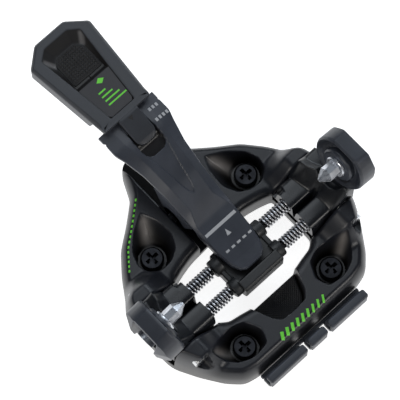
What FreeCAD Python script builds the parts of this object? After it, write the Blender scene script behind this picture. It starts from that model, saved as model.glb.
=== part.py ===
import FreeCAD, Part
import math
import os
import Sketcher
from FreeCAD import Vector, Placement, Rotation

# Ski-touring toe piece in millimetres: +Y towards the ski tip, +X to the right, +Z up.
# The origin lies on the underside, below the line of the two toe pins.

doc = FreeCAD.newDocument("toe_piece")

# ---------------------------------------------------------------- driving dimensions
driving = {
    # mounting screws
    "screwFrontSpan": 43.5, "screwRearSpan": 40.0, "screwFrontY": 25.0, "screwRearY": -18.7,
    "screwHeadDia": 8.2, "screwHeadThick": 2.6, "screwShankDia": 5.5, "screwNeckDia": 5.3,
    "screwHoleDia": 5.8, "screwReach": 9.0, "screwSeatZ": 3.4,
    # base
    "plateThick": 4.0, "lobeTop": 11.0, "troughTop": 4.6, "channelFloor": 2.6, "earTop": 18.6,
    # arm axles
    "axleX": 35.5, "axleZ": 14.0, "axleDia": 5.0, "axleFrontY": 20.0, "axleRearY": -14.1,
    "axleFit": 0.04, "armRearY": -6.9, "armFrontY": 12.4,
    # spring housings
    "springFrontY": 6.5, "springRearY": -3.0, "springZ": 13.2, "housingDia": 7.8,
    "housingInnerX": 22.3, "springInnerX": 11.7, "springOuterX": 30.2, "springMeanDia": 4.0,
    "springWire": 0.8, "springPitch": 1.2, "springBoreDia": 5.5, "rodDia": 3.0, "rodOuterX": 32.2,
    # toe pins
    "pinBaseX": 38.5, "pinBaseZ": 36.0, "pinLean": 12.0, "pinDia": 5.0, "pinBarrel": 4.3,
    "pinCone": 3.2, "pinTipDia": 2.2, "flangeDia": 8.0, "flangeThick": 0.7, "headDia": 12.8,
    "headThick": 4.0, "capDia": 21.4, "capThick": 10.6, "capRim": 1.0, "capChamfer": 1.8,
    "notchStart": 7.2, "notchHalf": 5.2, "capTopThick": 6.5, "pinThreadDia": 4.2, "nutDia": 6.6, "nutThick": 5.2,
    "hexSize": 2.5,
    # centre block
    "blockHalf": 8.6, "collarEndX": 11.4, "collarDia": 6.4, "blockRearY": -7.4,
    "blockFrontY": 10.9, "blockBottom": 8.8, "blockTop": 14.0, "plateauTop": 17.2,
    "linkY": 4.0, "linkZ": 12.4, "linkDia": 2.5, "lugHalf": 2.6, "lugSlack": 0.35,
    # lever
    "pivotY": 30.0, "pivotZ": 9.0, "pivotDia": 4.0, "pivotHalf": 12.4, "webHalf": 7.3,
    "hubDia": 10.0, "cheekInner": 8.2,
    # handle
    "slideTilt": 14.0, "slideTravel": 4.2, "handleTop": 39.4, "handleEdge": 38.4,
    "handleUnder": 37.2, "crossPinY": 57.6, "crossPinZ": 33.9, "crossPinDia": 2.0,
    "crossPinHalf": 10.7, "tangTop": 35.8, "tangBottom": 32.4, "tangHalf": 8.0,
}
sheet = doc.addObject("Spreadsheet::Sheet", "Dims")
for row, (alias, value) in enumerate(driving.items(), start=1):
    sheet.set("A%d" % row, alias)
    sheet.set("B%d" % row, str(value))
    sheet.setAlias("B%d" % row, alias)
doc.recompute()

finished = []          # every sub-part, in the order it is written out


def dim(alias):
    return float(sheet.get(alias))


def finish(obj, label):
    obj.Label = label
    finished.append(obj)
    return obj


def bind(obj, **formulas):
    for prop, formula in formulas.items():
        obj.setExpression(prop.replace("__", "."), formula)
    return obj


# ---------------------------------------------------------------- PartDesign helpers
def new_body(name):
    return doc.addObject("PartDesign::Body", name)


def origin_plane(body, role):
    return next(f for f in body.Origin.OriginFeatures if f.Role == role)


def sketch_on(body, name, role="XY_Plane", lift=None):
    """A sketch on one of the body's own origin planes, lifted along the plane's normal."""
    sketch = body.newObject("Sketcher::SketchObject", name)
    sketch.AttachmentSupport = [(origin_plane(body, role), "")]
    sketch.MapMode = "FlatFace"
    if lift is not None:
        sketch.setExpression("AttachmentOffset.Base.z", lift)
    return sketch


def draw_outline(sketch, points):
    """A closed outline of straight runs, its corners held together."""
    first = sketch.GeometryCount
    count = len(points)
    for i, p in enumerate(points):
        q = points[(i + 1) % count]
        sketch.addGeometry(Part.LineSegment(Vector(p[0], p[1], 0), Vector(q[0], q[1], 0)), False)
    for i in range(count):
        joint = Sketcher.Constraint("Coincident", first + i, 2, first + (i + 1) % count, 1)
        sketch.addConstraint(joint)


def draw_loop(sketch, points):
    """A smooth closed curve through the points."""
    curve = Part.BSplineCurve()
    curve.interpolate([Vector(x, y, 0) for x, y in points], PeriodicFlag=True)
    sketch.addGeometry(curve, False)


def draw_circle(sketch, x, y, diameter):
    """A circle whose centre and diameter follow formulas of the sheet."""
    index = sketch.addGeometry(Part.Circle(Vector(1, 1, 0), Vector(0, 0, 1), 1), False)
    for kind, formula in (("X", x), ("Y", y)):
        label = "centre%s%d" % (kind, index)
        place = sketch.addConstraint(Sketcher.Constraint("Distance" + kind, -1, 1, index, 3, 1.0))
        sketch.renameConstraint(place, label)
        sketch.setExpression("Constraints." + label, formula)
    size = sketch.addConstraint(Sketcher.Constraint("Diameter", index, 2.0))
    sketch.renameConstraint(size, "size%d" % index)
    sketch.setExpression("Constraints.size%d" % index, diameter)


def pad(body, sketch, length, name, both=False):
    feature = body.newObject("PartDesign::Pad", name)
    feature.Profile = sketch
    feature.setExpression("Length", length)
    feature.Midplane = both
    return feature


def pocket(body, sketch, length, name, both=False, up=False):
    feature = body.newObject("PartDesign::Pocket", name)
    feature.Profile = sketch
    feature.setExpression("Length", length)
    feature.Midplane = both
    feature.Reversed = up
    return feature


def loft(body, kind, sketches, name):
    feature = body.newObject("PartDesign::" + kind, name)
    feature.Profile = sketches[0]
    feature.Sections = sketches[1:]
    feature.Ruled = True
    return feature


def mirrored(half):
    """The right half of an outline, front to rear, closed with its mirror image."""
    return half + [(-x, y) for x, y in reversed(half) if x > 0]


def flip(points, side):
    return [(side * x, y) for x, y in points]


# ---------------------------------------------------------------- Part helpers
def rod(name, radius, height, base, direction):
    """A cylinder whose sizes follow the sheet, from a base point along a direction."""
    obj = doc.addObject("Part::Cylinder", name)
    bind(obj, Radius=radius, Height=height)
    obj.Placement = Placement(Vector(*base), Rotation(Vector(0, 0, 1), Vector(*direction)))
    return obj


def shape_node(label, shape, placement=None):
    """A sub-part whose shape is worked out from the sheet's values."""
    obj = doc.addObject("Part::Feature", label)
    obj.Shape = shape
    if placement is not None:
        obj.Placement = placement
    return finish(obj, label)


def mirror_node(label, source):
    """The left-hand twin of a right-hand sub-part."""
    obj = doc.addObject("Part::Mirroring", label)
    obj.Source = source
    obj.Normal = Vector(1, 0, 0)
    return finish(obj, label)


def prism(points, axis, start, end):
    """A prism of an outline in the plane across one axis, between two stations."""
    place = {
        "x": lambda p: Vector(start, p[0], p[1]),
        "y": lambda p: Vector(p[0], start, p[1]),
        "z": lambda p: Vector(p[0], p[1], start),
    }[axis]
    along = {"x": Vector(1, 0, 0), "y": Vector(0, 1, 0), "z": Vector(0, 0, 1)}[axis]
    corners = [place(p) for p in points]
    face = Part.Face(Part.makePolygon(corners + corners[:1]))
    return face.extrude(along * (end - start))


def box(low, high):
    size = [b - a for a, b in zip(low, high)]
    return Part.makeBox(*size, Vector(*low))


def bar(radius, start, end):
    a, b = Vector(*start), Vector(*end)
    return Part.makeCylinder(radius, (b - a).Length, a, b - a)


def stacked(sections):
    """A ruled solid through closed polygons of equal point counts."""
    wires = [Part.makePolygon([Vector(*p) for p in s] + [Vector(*s[0])]) for s in sections]
    return Part.makeLoft(wires, True, True)


# ---------------------------------------------------------------- base plate
plateHalf = [
    (0, 57.5), (6, 57), (9, 54), (13, 45.5), (20.4, 39.5), (27.8, 34.2), (33.5, 27.5),
    (38.2, 20.5), (41, 17.5), (42.2, 14), (42.2, -4), (41.4, -8), (37.4, -15.5), (32.6, -22.8),
    (28, -27.4), (22.4, -28.7), (0, -28.8),
]
lobeHalf = [
    (0, 55.5), (5, 55), (7.5, 52), (11.4, 44), (18.8, 38), (26, 32.4), (31, 26.6),
    (35, 20), (37.4, 17), (38.6, 14), (38.6, -5), (37.8, -9.5), (34.4, -15), (30.4, -21.6),
    (26.6, -25.6), (21.6, -26.8), (0, -26.9),
]
openingHalf = [
    (0, 16.2), (12, 15.6), (17, 14.6), (22.6, 12.9), (22.6, -6.2), (18.5, -9.4), (9.6, -11.2),
    (0, -11.2),
]
frontRecessRim = [
    (14.6, 38.6), (21, 35), (26.2, 30), (28, 25), (26.9, 20.8), (23, 18.4), (18.4, 18.6),
    (14.2, 21), (11.7, 26), (12.2, 33),
]
rearRecessRim = [
    (15.2, -12.9), (20, -11.2), (26, -11.9), (31.6, -14.3), (29.4, -19), (26, -22.6),
    (20.6, -24.6), (14.2, -23.8), (12.4, -18.8),
]
padSeatHalf = [(0, -10), (10.4, -10), (9.8, -13), (7.4, -18.8), (5.2, -21.4), (0, -21.8)]


def build_base():
    body = new_body("base_plate")
    plate = sketch_on(body, "plateOutline")
    draw_outline(plate, mirrored(plateHalf))
    pad(body, plate, "Dims.plateThick", "plate")

    # drafted upper body
    low = sketch_on(body, "bodyFoot", lift="Dims.plateThick - 0.01")
    draw_outline(low, mirrored(plateHalf))
    high = sketch_on(body, "bodyTop", lift="Dims.lobeTop")
    draw_outline(high, mirrored(lobeHalf))
    loft(body, "AdditiveLoft", [low, high], "upperBody")

    # ears beside each arm: a humped section carried along Y, dropping away from the arm
    for side, tag in ((1, "Right"), (-1, "Left")):
        for name, stations in (("frontEar", ((12.75, 0.0, 42.2), (18.0, 0.3, 40.2), (20.6, 2.4, 37.6))),
                               ("rearEar", ((-7.25, 0.4, 41.2), (-14.1, 1.8, 37.8), (-18.4, 6.8, 34.8)))):
            sections = []
            for i, (y, drop, foot) in enumerate(stations):
                top = dim("earTop") - drop
                hump = [(22.7, 4), (22.7, 11.4 - 0.2 * drop), (26.5, 12.6 - 0.3 * drop), (31.6, top),
                        (foot - 3.2, top), (foot - 0.6, top - 3.2 + 0.3 * drop), (foot, 4)]
                sketch = sketch_on(body, "%s%s%d" % (name, tag, i), "XZ_Plane", "%s" % -y)
                draw_outline(sketch, flip(hump, side))
                sections.append(sketch)
            loft(body, "AdditiveLoft", sections, name + tag)

    # through opening, arm troughs, lever channel and the rear pad's seat
    opening = sketch_on(body, "openingOutline", lift="Dims.earTop + 1")
    draw_outline(opening, mirrored(openingHalf))
    pocket(body, opening, "Dims.earTop + 2", "opening")
    for side, tag in ((1, "Right"), (-1, "Left")):
        trough = sketch_on(body, "trough" + tag, lift="Dims.troughTop")
        draw_outline(trough, flip([(21, -7.24), (46, -7.24), (46, 12.74), (21, 12.74)], side))
        pocket(body, trough, "20", "armTrough" + tag, up=True)
    channel = sketch_on(body, "channelOutline", lift="Dims.channelFloor")
    inner = dim("cheekInner")
    draw_outline(channel, mirrored([(0, 60), (inner, 60), (inner, 14), (0, 14)]))
    pocket(body, channel, "20", "leverChannel", up=True)
    seat = sketch_on(body, "padSeat", lift="Dims.plateThick - 1")
    draw_outline(seat, mirrored(padSeatHalf))
    pocket(body, seat, "20", "rearPadSeat", up=True)

    # screw recesses: a wide rim narrowing to the screw's seat, then the seat and the hole
    for side, tag in ((1, "Right"), (-1, "Left")):
        for name, rim, x, y in (
                ("frontRecess", frontRecessRim, "screwFrontSpan", "screwFrontY"),
                ("rearRecess", rearRecessRim, "screwRearSpan", "screwRearY")):
            centre = (dim(x) / 2, dim(y))
            turn = [math.atan2(py - centre[1], px - centre[0]) for px, py in rim]
            ring = [(centre[0] + 5 * math.cos(t), centre[1] + 5 * math.sin(t)) for t in turn]
            top = sketch_on(body, name + "Rim" + tag, lift="Dims.lobeTop + 0.02")
            draw_loop(top, flip(rim, side))
            floor = sketch_on(body, name + "Floor" + tag, lift="Dims.screwSeatZ")
            draw_loop(floor, flip(ring, side))
            loft(body, "SubtractiveLoft", [top, floor], name + tag)
            hole = sketch_on(body, name + "Hole" + tag, lift="-1")
            draw_circle(hole, "%d * Dims.%s / 2" % (side, x), "Dims.%s" % y, "Dims.screwHoleDia")
            pocket(body, hole, "20", name + "Bore" + tag, up=True)

    # bores of the arm axles, open at the rear ear's back face, and of the lever's pivot pin
    for side, tag in ((1, "Right"), (-1, "Left")):
        bore = sketch_on(body, "axleBore" + tag, "XZ_Plane", "-Dims.axleFrontY")
        draw_circle(bore, "%d * Dims.axleX" % side, "Dims.axleZ", "Dims.axleDia + Dims.axleFit")
        pocket(body, bore, "Dims.axleFrontY - Dims.axleRearY + 3", "axleBore" + tag + "Cut", up=True)
    pivot = sketch_on(body, "pivotBore", "YZ_Plane")
    draw_circle(pivot, "Dims.pivotY", "Dims.pivotZ", "Dims.pivotDia + Dims.axleFit")
    pocket(body, pivot, "2 * Dims.pivotHalf", "pivotBoreCut", both=True)
    finish(body, "base_plate")


def build_grip_pad():
    body = new_body("rear_grip_pad")
    sketch = sketch_on(body, "padOutline", lift="Dims.plateThick - 1")
    draw_outline(sketch, mirrored([(0, -11.3), (9.3, -11.3), (8.9, -13.2), (6.7, -18.6),
                                   (4.7, -20.9), (0, -21.2)]))
    pad(body, sketch, "1.8", "pad")
    finish(body, "rear_grip_pad")


def build_crampon_holder():
    """A strip behind the base with three hooked tabs that leave a slot for a ski crampon."""
    body = new_body("crampon_holder")
    strip = sketch_on(body, "strip")
    draw_outline(strip, mirrored([(0, -28.9), (22.4, -28.9), (22.4, -33.4), (21.2, -34.6), (0, -34.6)]))
    pad(body, strip, "2.2", "stripPad")
    wall = sketch_on(body, "wall", lift="2")
    draw_outline(wall, mirrored([(0, -33.3), (22.4, -33.3), (21.2, -34.6), (0, -34.6)]))
    pad(body, wall, "4.4", "wallPad")
    lip = sketch_on(body, "lip", lift="6.2")
    draw_outline(lip, mirrored([(0, -31.6), (21.6, -31.6), (22.4, -32.4), (22.4, -33.4),
                                (21.2, -34.6), (0, -34.6)]))
    pad(body, lip, "1.6", "lipPad")
    for side, tag in ((1, "Right"), (-1, "Left")):
        slit = sketch_on(body, "slit" + tag, lift="-1")
        draw_outline(slit, flip([(4.0, -40), (5.3, -40), (5.3, -30.2), (4.0, -30.2)], side))
        pocket(body, slit, "12", "slitCut" + tag, up=True)
    finish(body, "crampon_holder")


# ---------------------------------------------------------------- screws, axles and pivot pin
def cross_recess(depth, size, width):
    """A tapered four-winged driver recess, open upwards from z = 0."""
    wings = []
    for turn in (0, 90):
        wing = stacked([
            [(-size / 2, -width / 2, 0.01), (size / 2, -width / 2, 0.01), (size / 2, width / 2, 0.01),
             (-size / 2, width / 2, 0.01)],
            [(-size / 4, -width / 3, -depth), (size / 4, -width / 3, -depth),
             (size / 4, width / 3, -depth), (-size / 4, width / 3, -depth)],
        ])
        wing.rotate(Vector(0, 0, 0), Vector(0, 0, 1), turn)
        wings.append(wing)
    return wings[0].fuse(wings[1])


def build_screws():
    head, thick = dim("screwHeadDia") / 2, dim("screwHeadThick")
    seat, reach = dim("screwSeatZ") + 0.02, dim("screwReach")
    neck, shank = dim("screwNeckDia") / 2, dim("screwShankDia") / 2
    profile = [(0, -reach), (1.2, -reach), (shank, -reach + 2.4), (shank, -0.05), (neck, -0.05),
               (neck, seat), (head, seat), (head, seat + thick - 0.6), (head - 0.6, seat + thick),
               (0, seat + thick)]
    corners = [Vector(r, 0, z) for r, z in profile]
    turned = Part.Face(Part.makePolygon(corners + corners[:1])).revolve(
        Vector(0, 0, 0), Vector(0, 0, 1), 360)
    recess = cross_recess(1.9, 4.9, 1.3)
    recess.translate(Vector(0, 0, seat + thick))
    screw = turned.cut(recess)
    places = []
    for span, y in (("screwFrontSpan", "screwFrontY"), ("screwRearSpan", "screwRearY")):
        for side in (-1, 1):
            places.append(Vector(side * dim(span) / 2, dim(y), 0))
    copies = [screw.copy() for _ in places]
    for copy, place in zip(copies, places):
        copy.translate(place)
    shape_node("mounting_screws", Part.makeCompound(copies))


def build_axles():
    right = rod("right_axle", "Dims.axleDia / 2", "Dims.axleFrontY - Dims.axleRearY - 1",
                (dim("axleX"), dim("axleRearY"), dim("axleZ")), (0, 1, 0))
    finish(right, "right_axle")
    mirror_node("left_axle", right)
    pivot = rod("lever_pivot_pin", "Dims.pivotDia / 2", "2 * Dims.pivotHalf - 0.4",
                (-dim("pivotHalf") + 0.2, dim("pivotY"), dim("pivotZ")), (1, 0, 0))
    finish(pivot, "lever_pivot_pin")


# ---------------------------------------------------------------- arm with its cap and pin
lean = math.radians(dim("pinLean"))
pinBase = Vector(dim("pinBaseX"), 0, dim("pinBaseZ"))
pinOut = Vector(-math.cos(lean), 0, math.sin(lean))      # from the arm's head towards the boot


def along_pin(distance):
    return pinBase + pinOut * distance


def build_arm():
    rear, front = dim("armRearY"), dim("armFrontY")
    inner, z = dim("housingInnerX"), dim("springZ")
    r = dim("housingDia") / 2
    tubes = [bar(r, (inner, y, z), (33, y, z)) for y in (dim("springFrontY"), dim("springRearY"))]
    bridge = box((inner + 1.2, dim("springRearY"), z - r), (38, dim("springFrontY"), z + 1.6))
    shelf = box((inner + 3.5, dim("springFrontY"), z - r), (38, front, z + 1.0))
    foot = box((27, rear, z - r), (40.6, front, z + 3.4))

    def slab(x0, x1, y0, y1, height):
        return [(x0, y0, height), (x1, y0, height), (x1, y1, height), (x0, y1, height)]
    tower = stacked([
        slab(27.0, 40.6, rear, front, 15.0), slab(29.2, 41.2, rear, front, 18.0),
        slab(33.2, 41.7, -6.8, 10.2, 23.5), slab(36.6, 41.6, -6.6, 6.6, 29.5),
    ])
    head = Part.makeCylinder(dim("headDia") / 2, dim("headThick"), pinBase, pinOut * -1)
    neck = stacked([
        slab(36.6, 41.6, -6.6, 6.6, 29.4),
        slab(38.6, 41.0, -6.0, 6.0, 34.0),
    ])
    solid = tubes[0].multiFuse(tubes[1:] + [bridge, shelf, foot, tower, head, neck])
    # dished hollow under the pin
    solid = solid.cut(Part.makeSphere(5.2, Vector(32.6, 0, 24.4)))
    # bores: springs, rods, axle, pin thread
    for y in (dim("springFrontY"), dim("springRearY")):
        solid = solid.cut(bar(dim("springBoreDia") / 2, (inner - 1, y, z), (dim("springOuterX") + 0.1, y, z)))
        solid = solid.cut(bar(dim("rodDia") / 2 + 0.02, (inner, y, z), (dim("rodOuterX") + 0.02, y, z)))
    axle = (dim("axleX"), rear - 1, dim("axleZ")), (dim("axleX"), front + 1, dim("axleZ"))
    solid = solid.cut(bar(dim("axleDia") / 2 + dim("axleFit"), *axle))
    solid = solid.cut(Part.makeCylinder(dim("pinThreadDia") / 2 + 0.02, 12, along_pin(2), pinOut * -1))
    return shape_node("right_arm", solid.removeSplitter())


def build_cap(arm):
    """A round bumper pulled over the arm's head and cut away below for the arm's neck."""
    radius, rim = dim("capDia") / 2, dim("capRim")
    cavity = dim("headDia") / 2 + 0.05
    # half outline of the turned form: radius and distance along the pin, inner rim first
    chamfer = dim("capChamfer")
    profile = [(cavity, -rim - 1.4), (radius - 1.0, -rim), (radius, -rim - 0.9), (radius, -dim("capThick") + chamfer),
               (radius - chamfer, -dim("capThick")), (0, -dim("capThick")), (0, -dim("headThick") - 0.05),
               (cavity, -dim("headThick") - 0.05)]
    corners = [Vector(r, 0, d) for r, d in profile]
    cap = Part.Face(Part.makePolygon(corners + corners[:1])).revolve(
        Vector(0, 0, 0), Vector(0, 0, 1), 360)
    # flats on the rim: one above, one towards each end of the ski
    for turn in (0, 52, -52):
        flat = box((radius - 1.3, -12, -15), (radius + 5, 12, 5))
        flat.rotate(Vector(0, 0, 0), Vector(0, 0, 1), turn)
        cap = cap.cut(flat)
    # the outer face leans in towards the top
    slant = prism([(0.5, -dim("capThick")), (radius, -dim("capTopThick")), (radius, -15), (0.5, -15)],
                  "y", -12, 12)
    cap = cap.cut(slant)
    cap.Placement = Placement(pinBase, Rotation(Vector(0, 0, 1), pinOut))
    cap = max(cap.cut(arm.Shape).Solids, key=lambda piece: piece.Volume)
    # the lock nut's seat, and the upright notch in the outer face that shows it
    seat = Part.makeCylinder(dim("nutDia") / 2 + 0.05, 8, along_pin(-dim("headThick") + 0.01), pinOut * -1)
    half = dim("notchHalf")
    notch = box((-15, -half, -dim("capThick") - 1), (15, half, -dim("notchStart")))
    notch.Placement = Placement(pinBase, Rotation(Vector(0, 0, 1), pinOut))
    cap = cap.cut(seat.fuse(notch))
    return shape_node("right_cap", cap.removeSplitter())


def build_pin():
    """A fluted steel toe pin: collar, barrel and cone, with its thread through the arm's head."""
    r, collar = dim("pinDia") / 2, dim("flangeDia") / 2
    barrelStart = dim("flangeThick")
    barrelEnd = barrelStart + dim("pinBarrel")
    tip = barrelEnd + dim("pinCone")
    profile = [(0, -dim("headThick") - 1.5), (dim("pinThreadDia") / 2, -dim("headThick") - 1.5),
               (dim("pinThreadDia") / 2, 0.02), (collar, 0.02), (collar, barrelStart), (r, barrelStart),
               (r, barrelEnd), (dim("pinTipDia") / 2, tip - 0.3), (dim("pinTipDia") / 2 - 0.3, tip),
               (0, tip)]
    corners = [Vector(a, 0, b) for a, b in profile]
    pin = Part.Face(Part.makePolygon(corners + corners[:1])).revolve(
        Vector(0, 0, 0), Vector(0, 0, 1), 360)
    for i in range(6):
        turn = math.radians(60 * i)
        flute = Part.makeCylinder(0.75, dim("pinBarrel") + 1.6,
                                  Vector((r + 0.35) * math.cos(turn), (r + 0.35) * math.sin(turn),
                                         barrelStart))
        pin = pin.cut(flute)
    place = Placement(pinBase, Rotation(Vector(0, 0, 1), pinOut))
    return shape_node("right_pin", pin, place)


def build_pin_nut():
    """The round nut that locks the toe pin, with a hexagon socket facing outwards."""
    start = -dim("headThick") - 0.02
    nut = Part.makeCylinder(dim("nutDia") / 2, dim("nutThick"), Vector(0, 0, start), Vector(0, 0, -1))
    thread = Part.makeCylinder(dim("pinThreadDia") / 2 + 0.02, 1.55, Vector(0, 0, start), Vector(0, 0, -1))
    end = start - dim("nutThick")
    hexagon = [Vector(dim("hexSize") / 1.5 * math.cos(math.radians(60 * i)),
                      dim("hexSize") / 1.5 * math.sin(math.radians(60 * i)), end - 1) for i in range(7)]
    socket = Part.Face(Part.makePolygon(hexagon)).extrude(Vector(0, 0, 3.2))
    nut = nut.cut(thread).cut(socket)
    place = Placement(pinBase, Rotation(Vector(0, 0, 1), pinOut))
    return shape_node("right_pin_nut", nut, place)


# ---------------------------------------------------------------- springs and rods
def build_springs():
    inner, outer = dim("springInnerX"), dim("springOuterX")
    wire, z = dim("springWire") / 2, dim("springZ")
    radius = dim("springMeanDia") / 2
    length = outer - inner - 2 * wire
    turns = Part.makeHelix(dim("springPitch"), length, radius)
    section = Part.Wire([Part.Circle(Vector(radius, 0, 0), Vector(0, 1, 0), wire).toShape()])
    coil = Part.Wire(turns.Edges).makePipeShell([section], True, True)
    for side, tag in ((1, "right"), (-1, "left")):
        for place, y in (("front", "springFrontY"), ("rear", "springRearY")):
            seat = Vector(side * (inner + wire), dim(y), z)
            turn = Rotation(Vector(0, 0, 1), Vector(side, 0, 0))
            shape_node("%s_%s_spring" % (tag, place), coil, Placement(seat, turn))
            guide = rod("%s_%s_rod" % (tag, place), "Dims.rodDia / 2", "Dims.rodOuterX - Dims.springInnerX",
                        (side * inner, dim(y), z), (side, 0, 0))
            finish(guide, "%s_%s_rod" % (tag, place))


# ---------------------------------------------------------------- centre block
def build_block():
    half, rear, front = dim("blockHalf"), dim("blockRearY"), dim("blockFrontY")
    low, top = dim("blockBottom"), dim("blockTop")
    side = [(rear + 1.2, low), (front - 1.2, low), (front, low + 1.2), (front, top - 1.5),
            (front - 1.2, top), (-2.6, top), (-3.4, dim("plateauTop")), (rear + 2.0, dim("plateauTop")),
            (rear, dim("plateauTop") - 3.2), (rear, low + 1.2)]
    block = prism(side, "x", -half, half)
    for y in (dim("springFrontY"), dim("springRearY")):
        for side in (1, -1):
            collar = bar(dim("collarDia") / 2, (side * (half - 0.7), y, dim("springZ")),
                         (side * dim("collarEndX"), y, dim("springZ")))
            block = block.fuse(collar)
    # well for the lever's lug, and the link pin's bore across it
    well = box((-dim("lugHalf") - 0.4, dim("linkY") - 4.6, low - 1), (dim("lugHalf") + 0.4, dim("linkY") + 4.0, top + 5))
    block = block.cut(well)
    block = block.cut(bar(dim("linkDia") / 2 + 0.01, (-half - 1, dim("linkY"), dim("linkZ")),
                          (half + 1, dim("linkY"), dim("linkZ"))))
    shape_node("centre_block", block.removeSplitter())
    link = rod("link_pin", "Dims.linkDia / 2", "2 * Dims.blockHalf - 0.6",
               (-half + 0.3, dim("linkY"), dim("linkZ")), (1, 0, 0))
    finish(link, "link_pin")


# ---------------------------------------------------------------- lever
# stations along the lever: y, half width of the flat top, half width at the edge,
# height of the top, of the edge and of the underside
leverStations = [
    (-1.8, 2.6, 3.4, 18.3, 17.9, 15.7),
    (-0.6, 4.6, 5.2, 18.6, 18.2, 15.6),
    (2.4, 6.1, 6.6, 19.1, 18.7, 15.4),
    (8.0, 7.0, 7.4, 20.5, 20.0, 15.4),
    (18.0, 7.2, 7.8, 22.8, 22.0, 16.4),
    (24.0, 4.8, 7.9, 25.8, 24.2, 17.6),
    (33.0, 5.4, 8.3, 30.0, 28.2, 20.6),
    (42.0, 6.0, 9.2, 33.2, 31.5, 25.6),
    (49.5, 6.8, 11.0, 35.5, 34.3, 29.6),
    (52.5, 7.2, 12.0, 35.9, 35.0, 30.8),
    (60.9, 7.4, 12.0, 35.9, 35.0, 31.4),
]


def slide_offset(distance):
    tilt = math.radians(dim("slideTilt"))
    return Vector(0, -distance * math.cos(tilt), -distance * math.sin(tilt))


def build_lever():
    sections = []
    for y, flat, edge, top, rim, under in leverStations:
        sections.append([(-flat, y, top), (flat, y, top), (edge, y, rim), (edge, y, rim - 1.6),
                         (flat, y, under), (-flat, y, under), (-edge, y, rim - 1.6), (-edge, y, rim)])
    lever = stacked(sections)
    hub = bar(dim("hubDia") / 2, (-dim("webHalf"), dim("pivotY"), dim("pivotZ")),
              (dim("webHalf"), dim("pivotY"), dim("pivotZ")))
    web = prism([(25.4, 7.4), (34.6, 7.4), (41.5, 26), (20.5, 17.6)], "x", -dim("webHalf"), dim("webHalf"))
    tang = box((-dim("tangHalf"), 55, dim("tangBottom")), (dim("tangHalf"), 88, dim("tangTop")))
    linkY, linkZ = dim("linkY"), dim("linkZ")
    lug = prism([(linkY - 3.2, linkZ - 2.2), (linkY + 2.8, linkZ - 2.2), (linkY + 3.4, 17), (linkY - 4.0, 17)],
                "x", -dim("lugHalf"), dim("lugHalf"))
    lever = lever.multiFuse([hub, web, tang, lug])
    # elongated hole for the link pin, bore for the pivot pin
    slot = dim("linkDia") / 2 + dim("lugSlack")
    lever = lever.cut(bar(slot, (-9, linkY, linkZ), (9, linkY, linkZ)))
    lever = lever.cut(bar(dim("pivotDia") / 2 + dim("axleFit"), (-15, dim("pivotY"), dim("pivotZ")),
                          (15, dim("pivotY"), dim("pivotZ"))))
    # groove for the handle's tongue, its floor parallel to the slide
    rise = math.tan(math.radians(dim("slideTilt")))
    floor = 32.4
    groove = prism([(44.2, floor), (62, floor + rise * 17.8), (62, 45), (44.2, 45)], "x", -4.5, 4.5)
    lever = lever.cut(groove)
    # well for the handle's web and the slots that its cross pin slides in
    lever = lever.cut(box((-3.1, 50.6, 30), (3.1, 60.4, 40)))
    start = Vector(0, dim("crossPinY"), dim("crossPinZ"))
    end = start + slide_offset(dim("slideTravel"))
    run = (end - start).Length
    clear = dim("crossPinDia") / 2 + 0.15
    track = Part.makeBox(26, run, 2 * clear, Vector(-13, 0, -clear))
    track.Placement = Placement(end, Rotation(Vector(1, 0, 0), dim("slideTilt")))
    ends = [bar(clear, (-13, p.y, p.z), (13, p.y, p.z)) for p in (start, end)]
    lever = lever.cut(track.multiFuse(ends))
    shape_node("lever_body", lever.removeSplitter())


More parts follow.
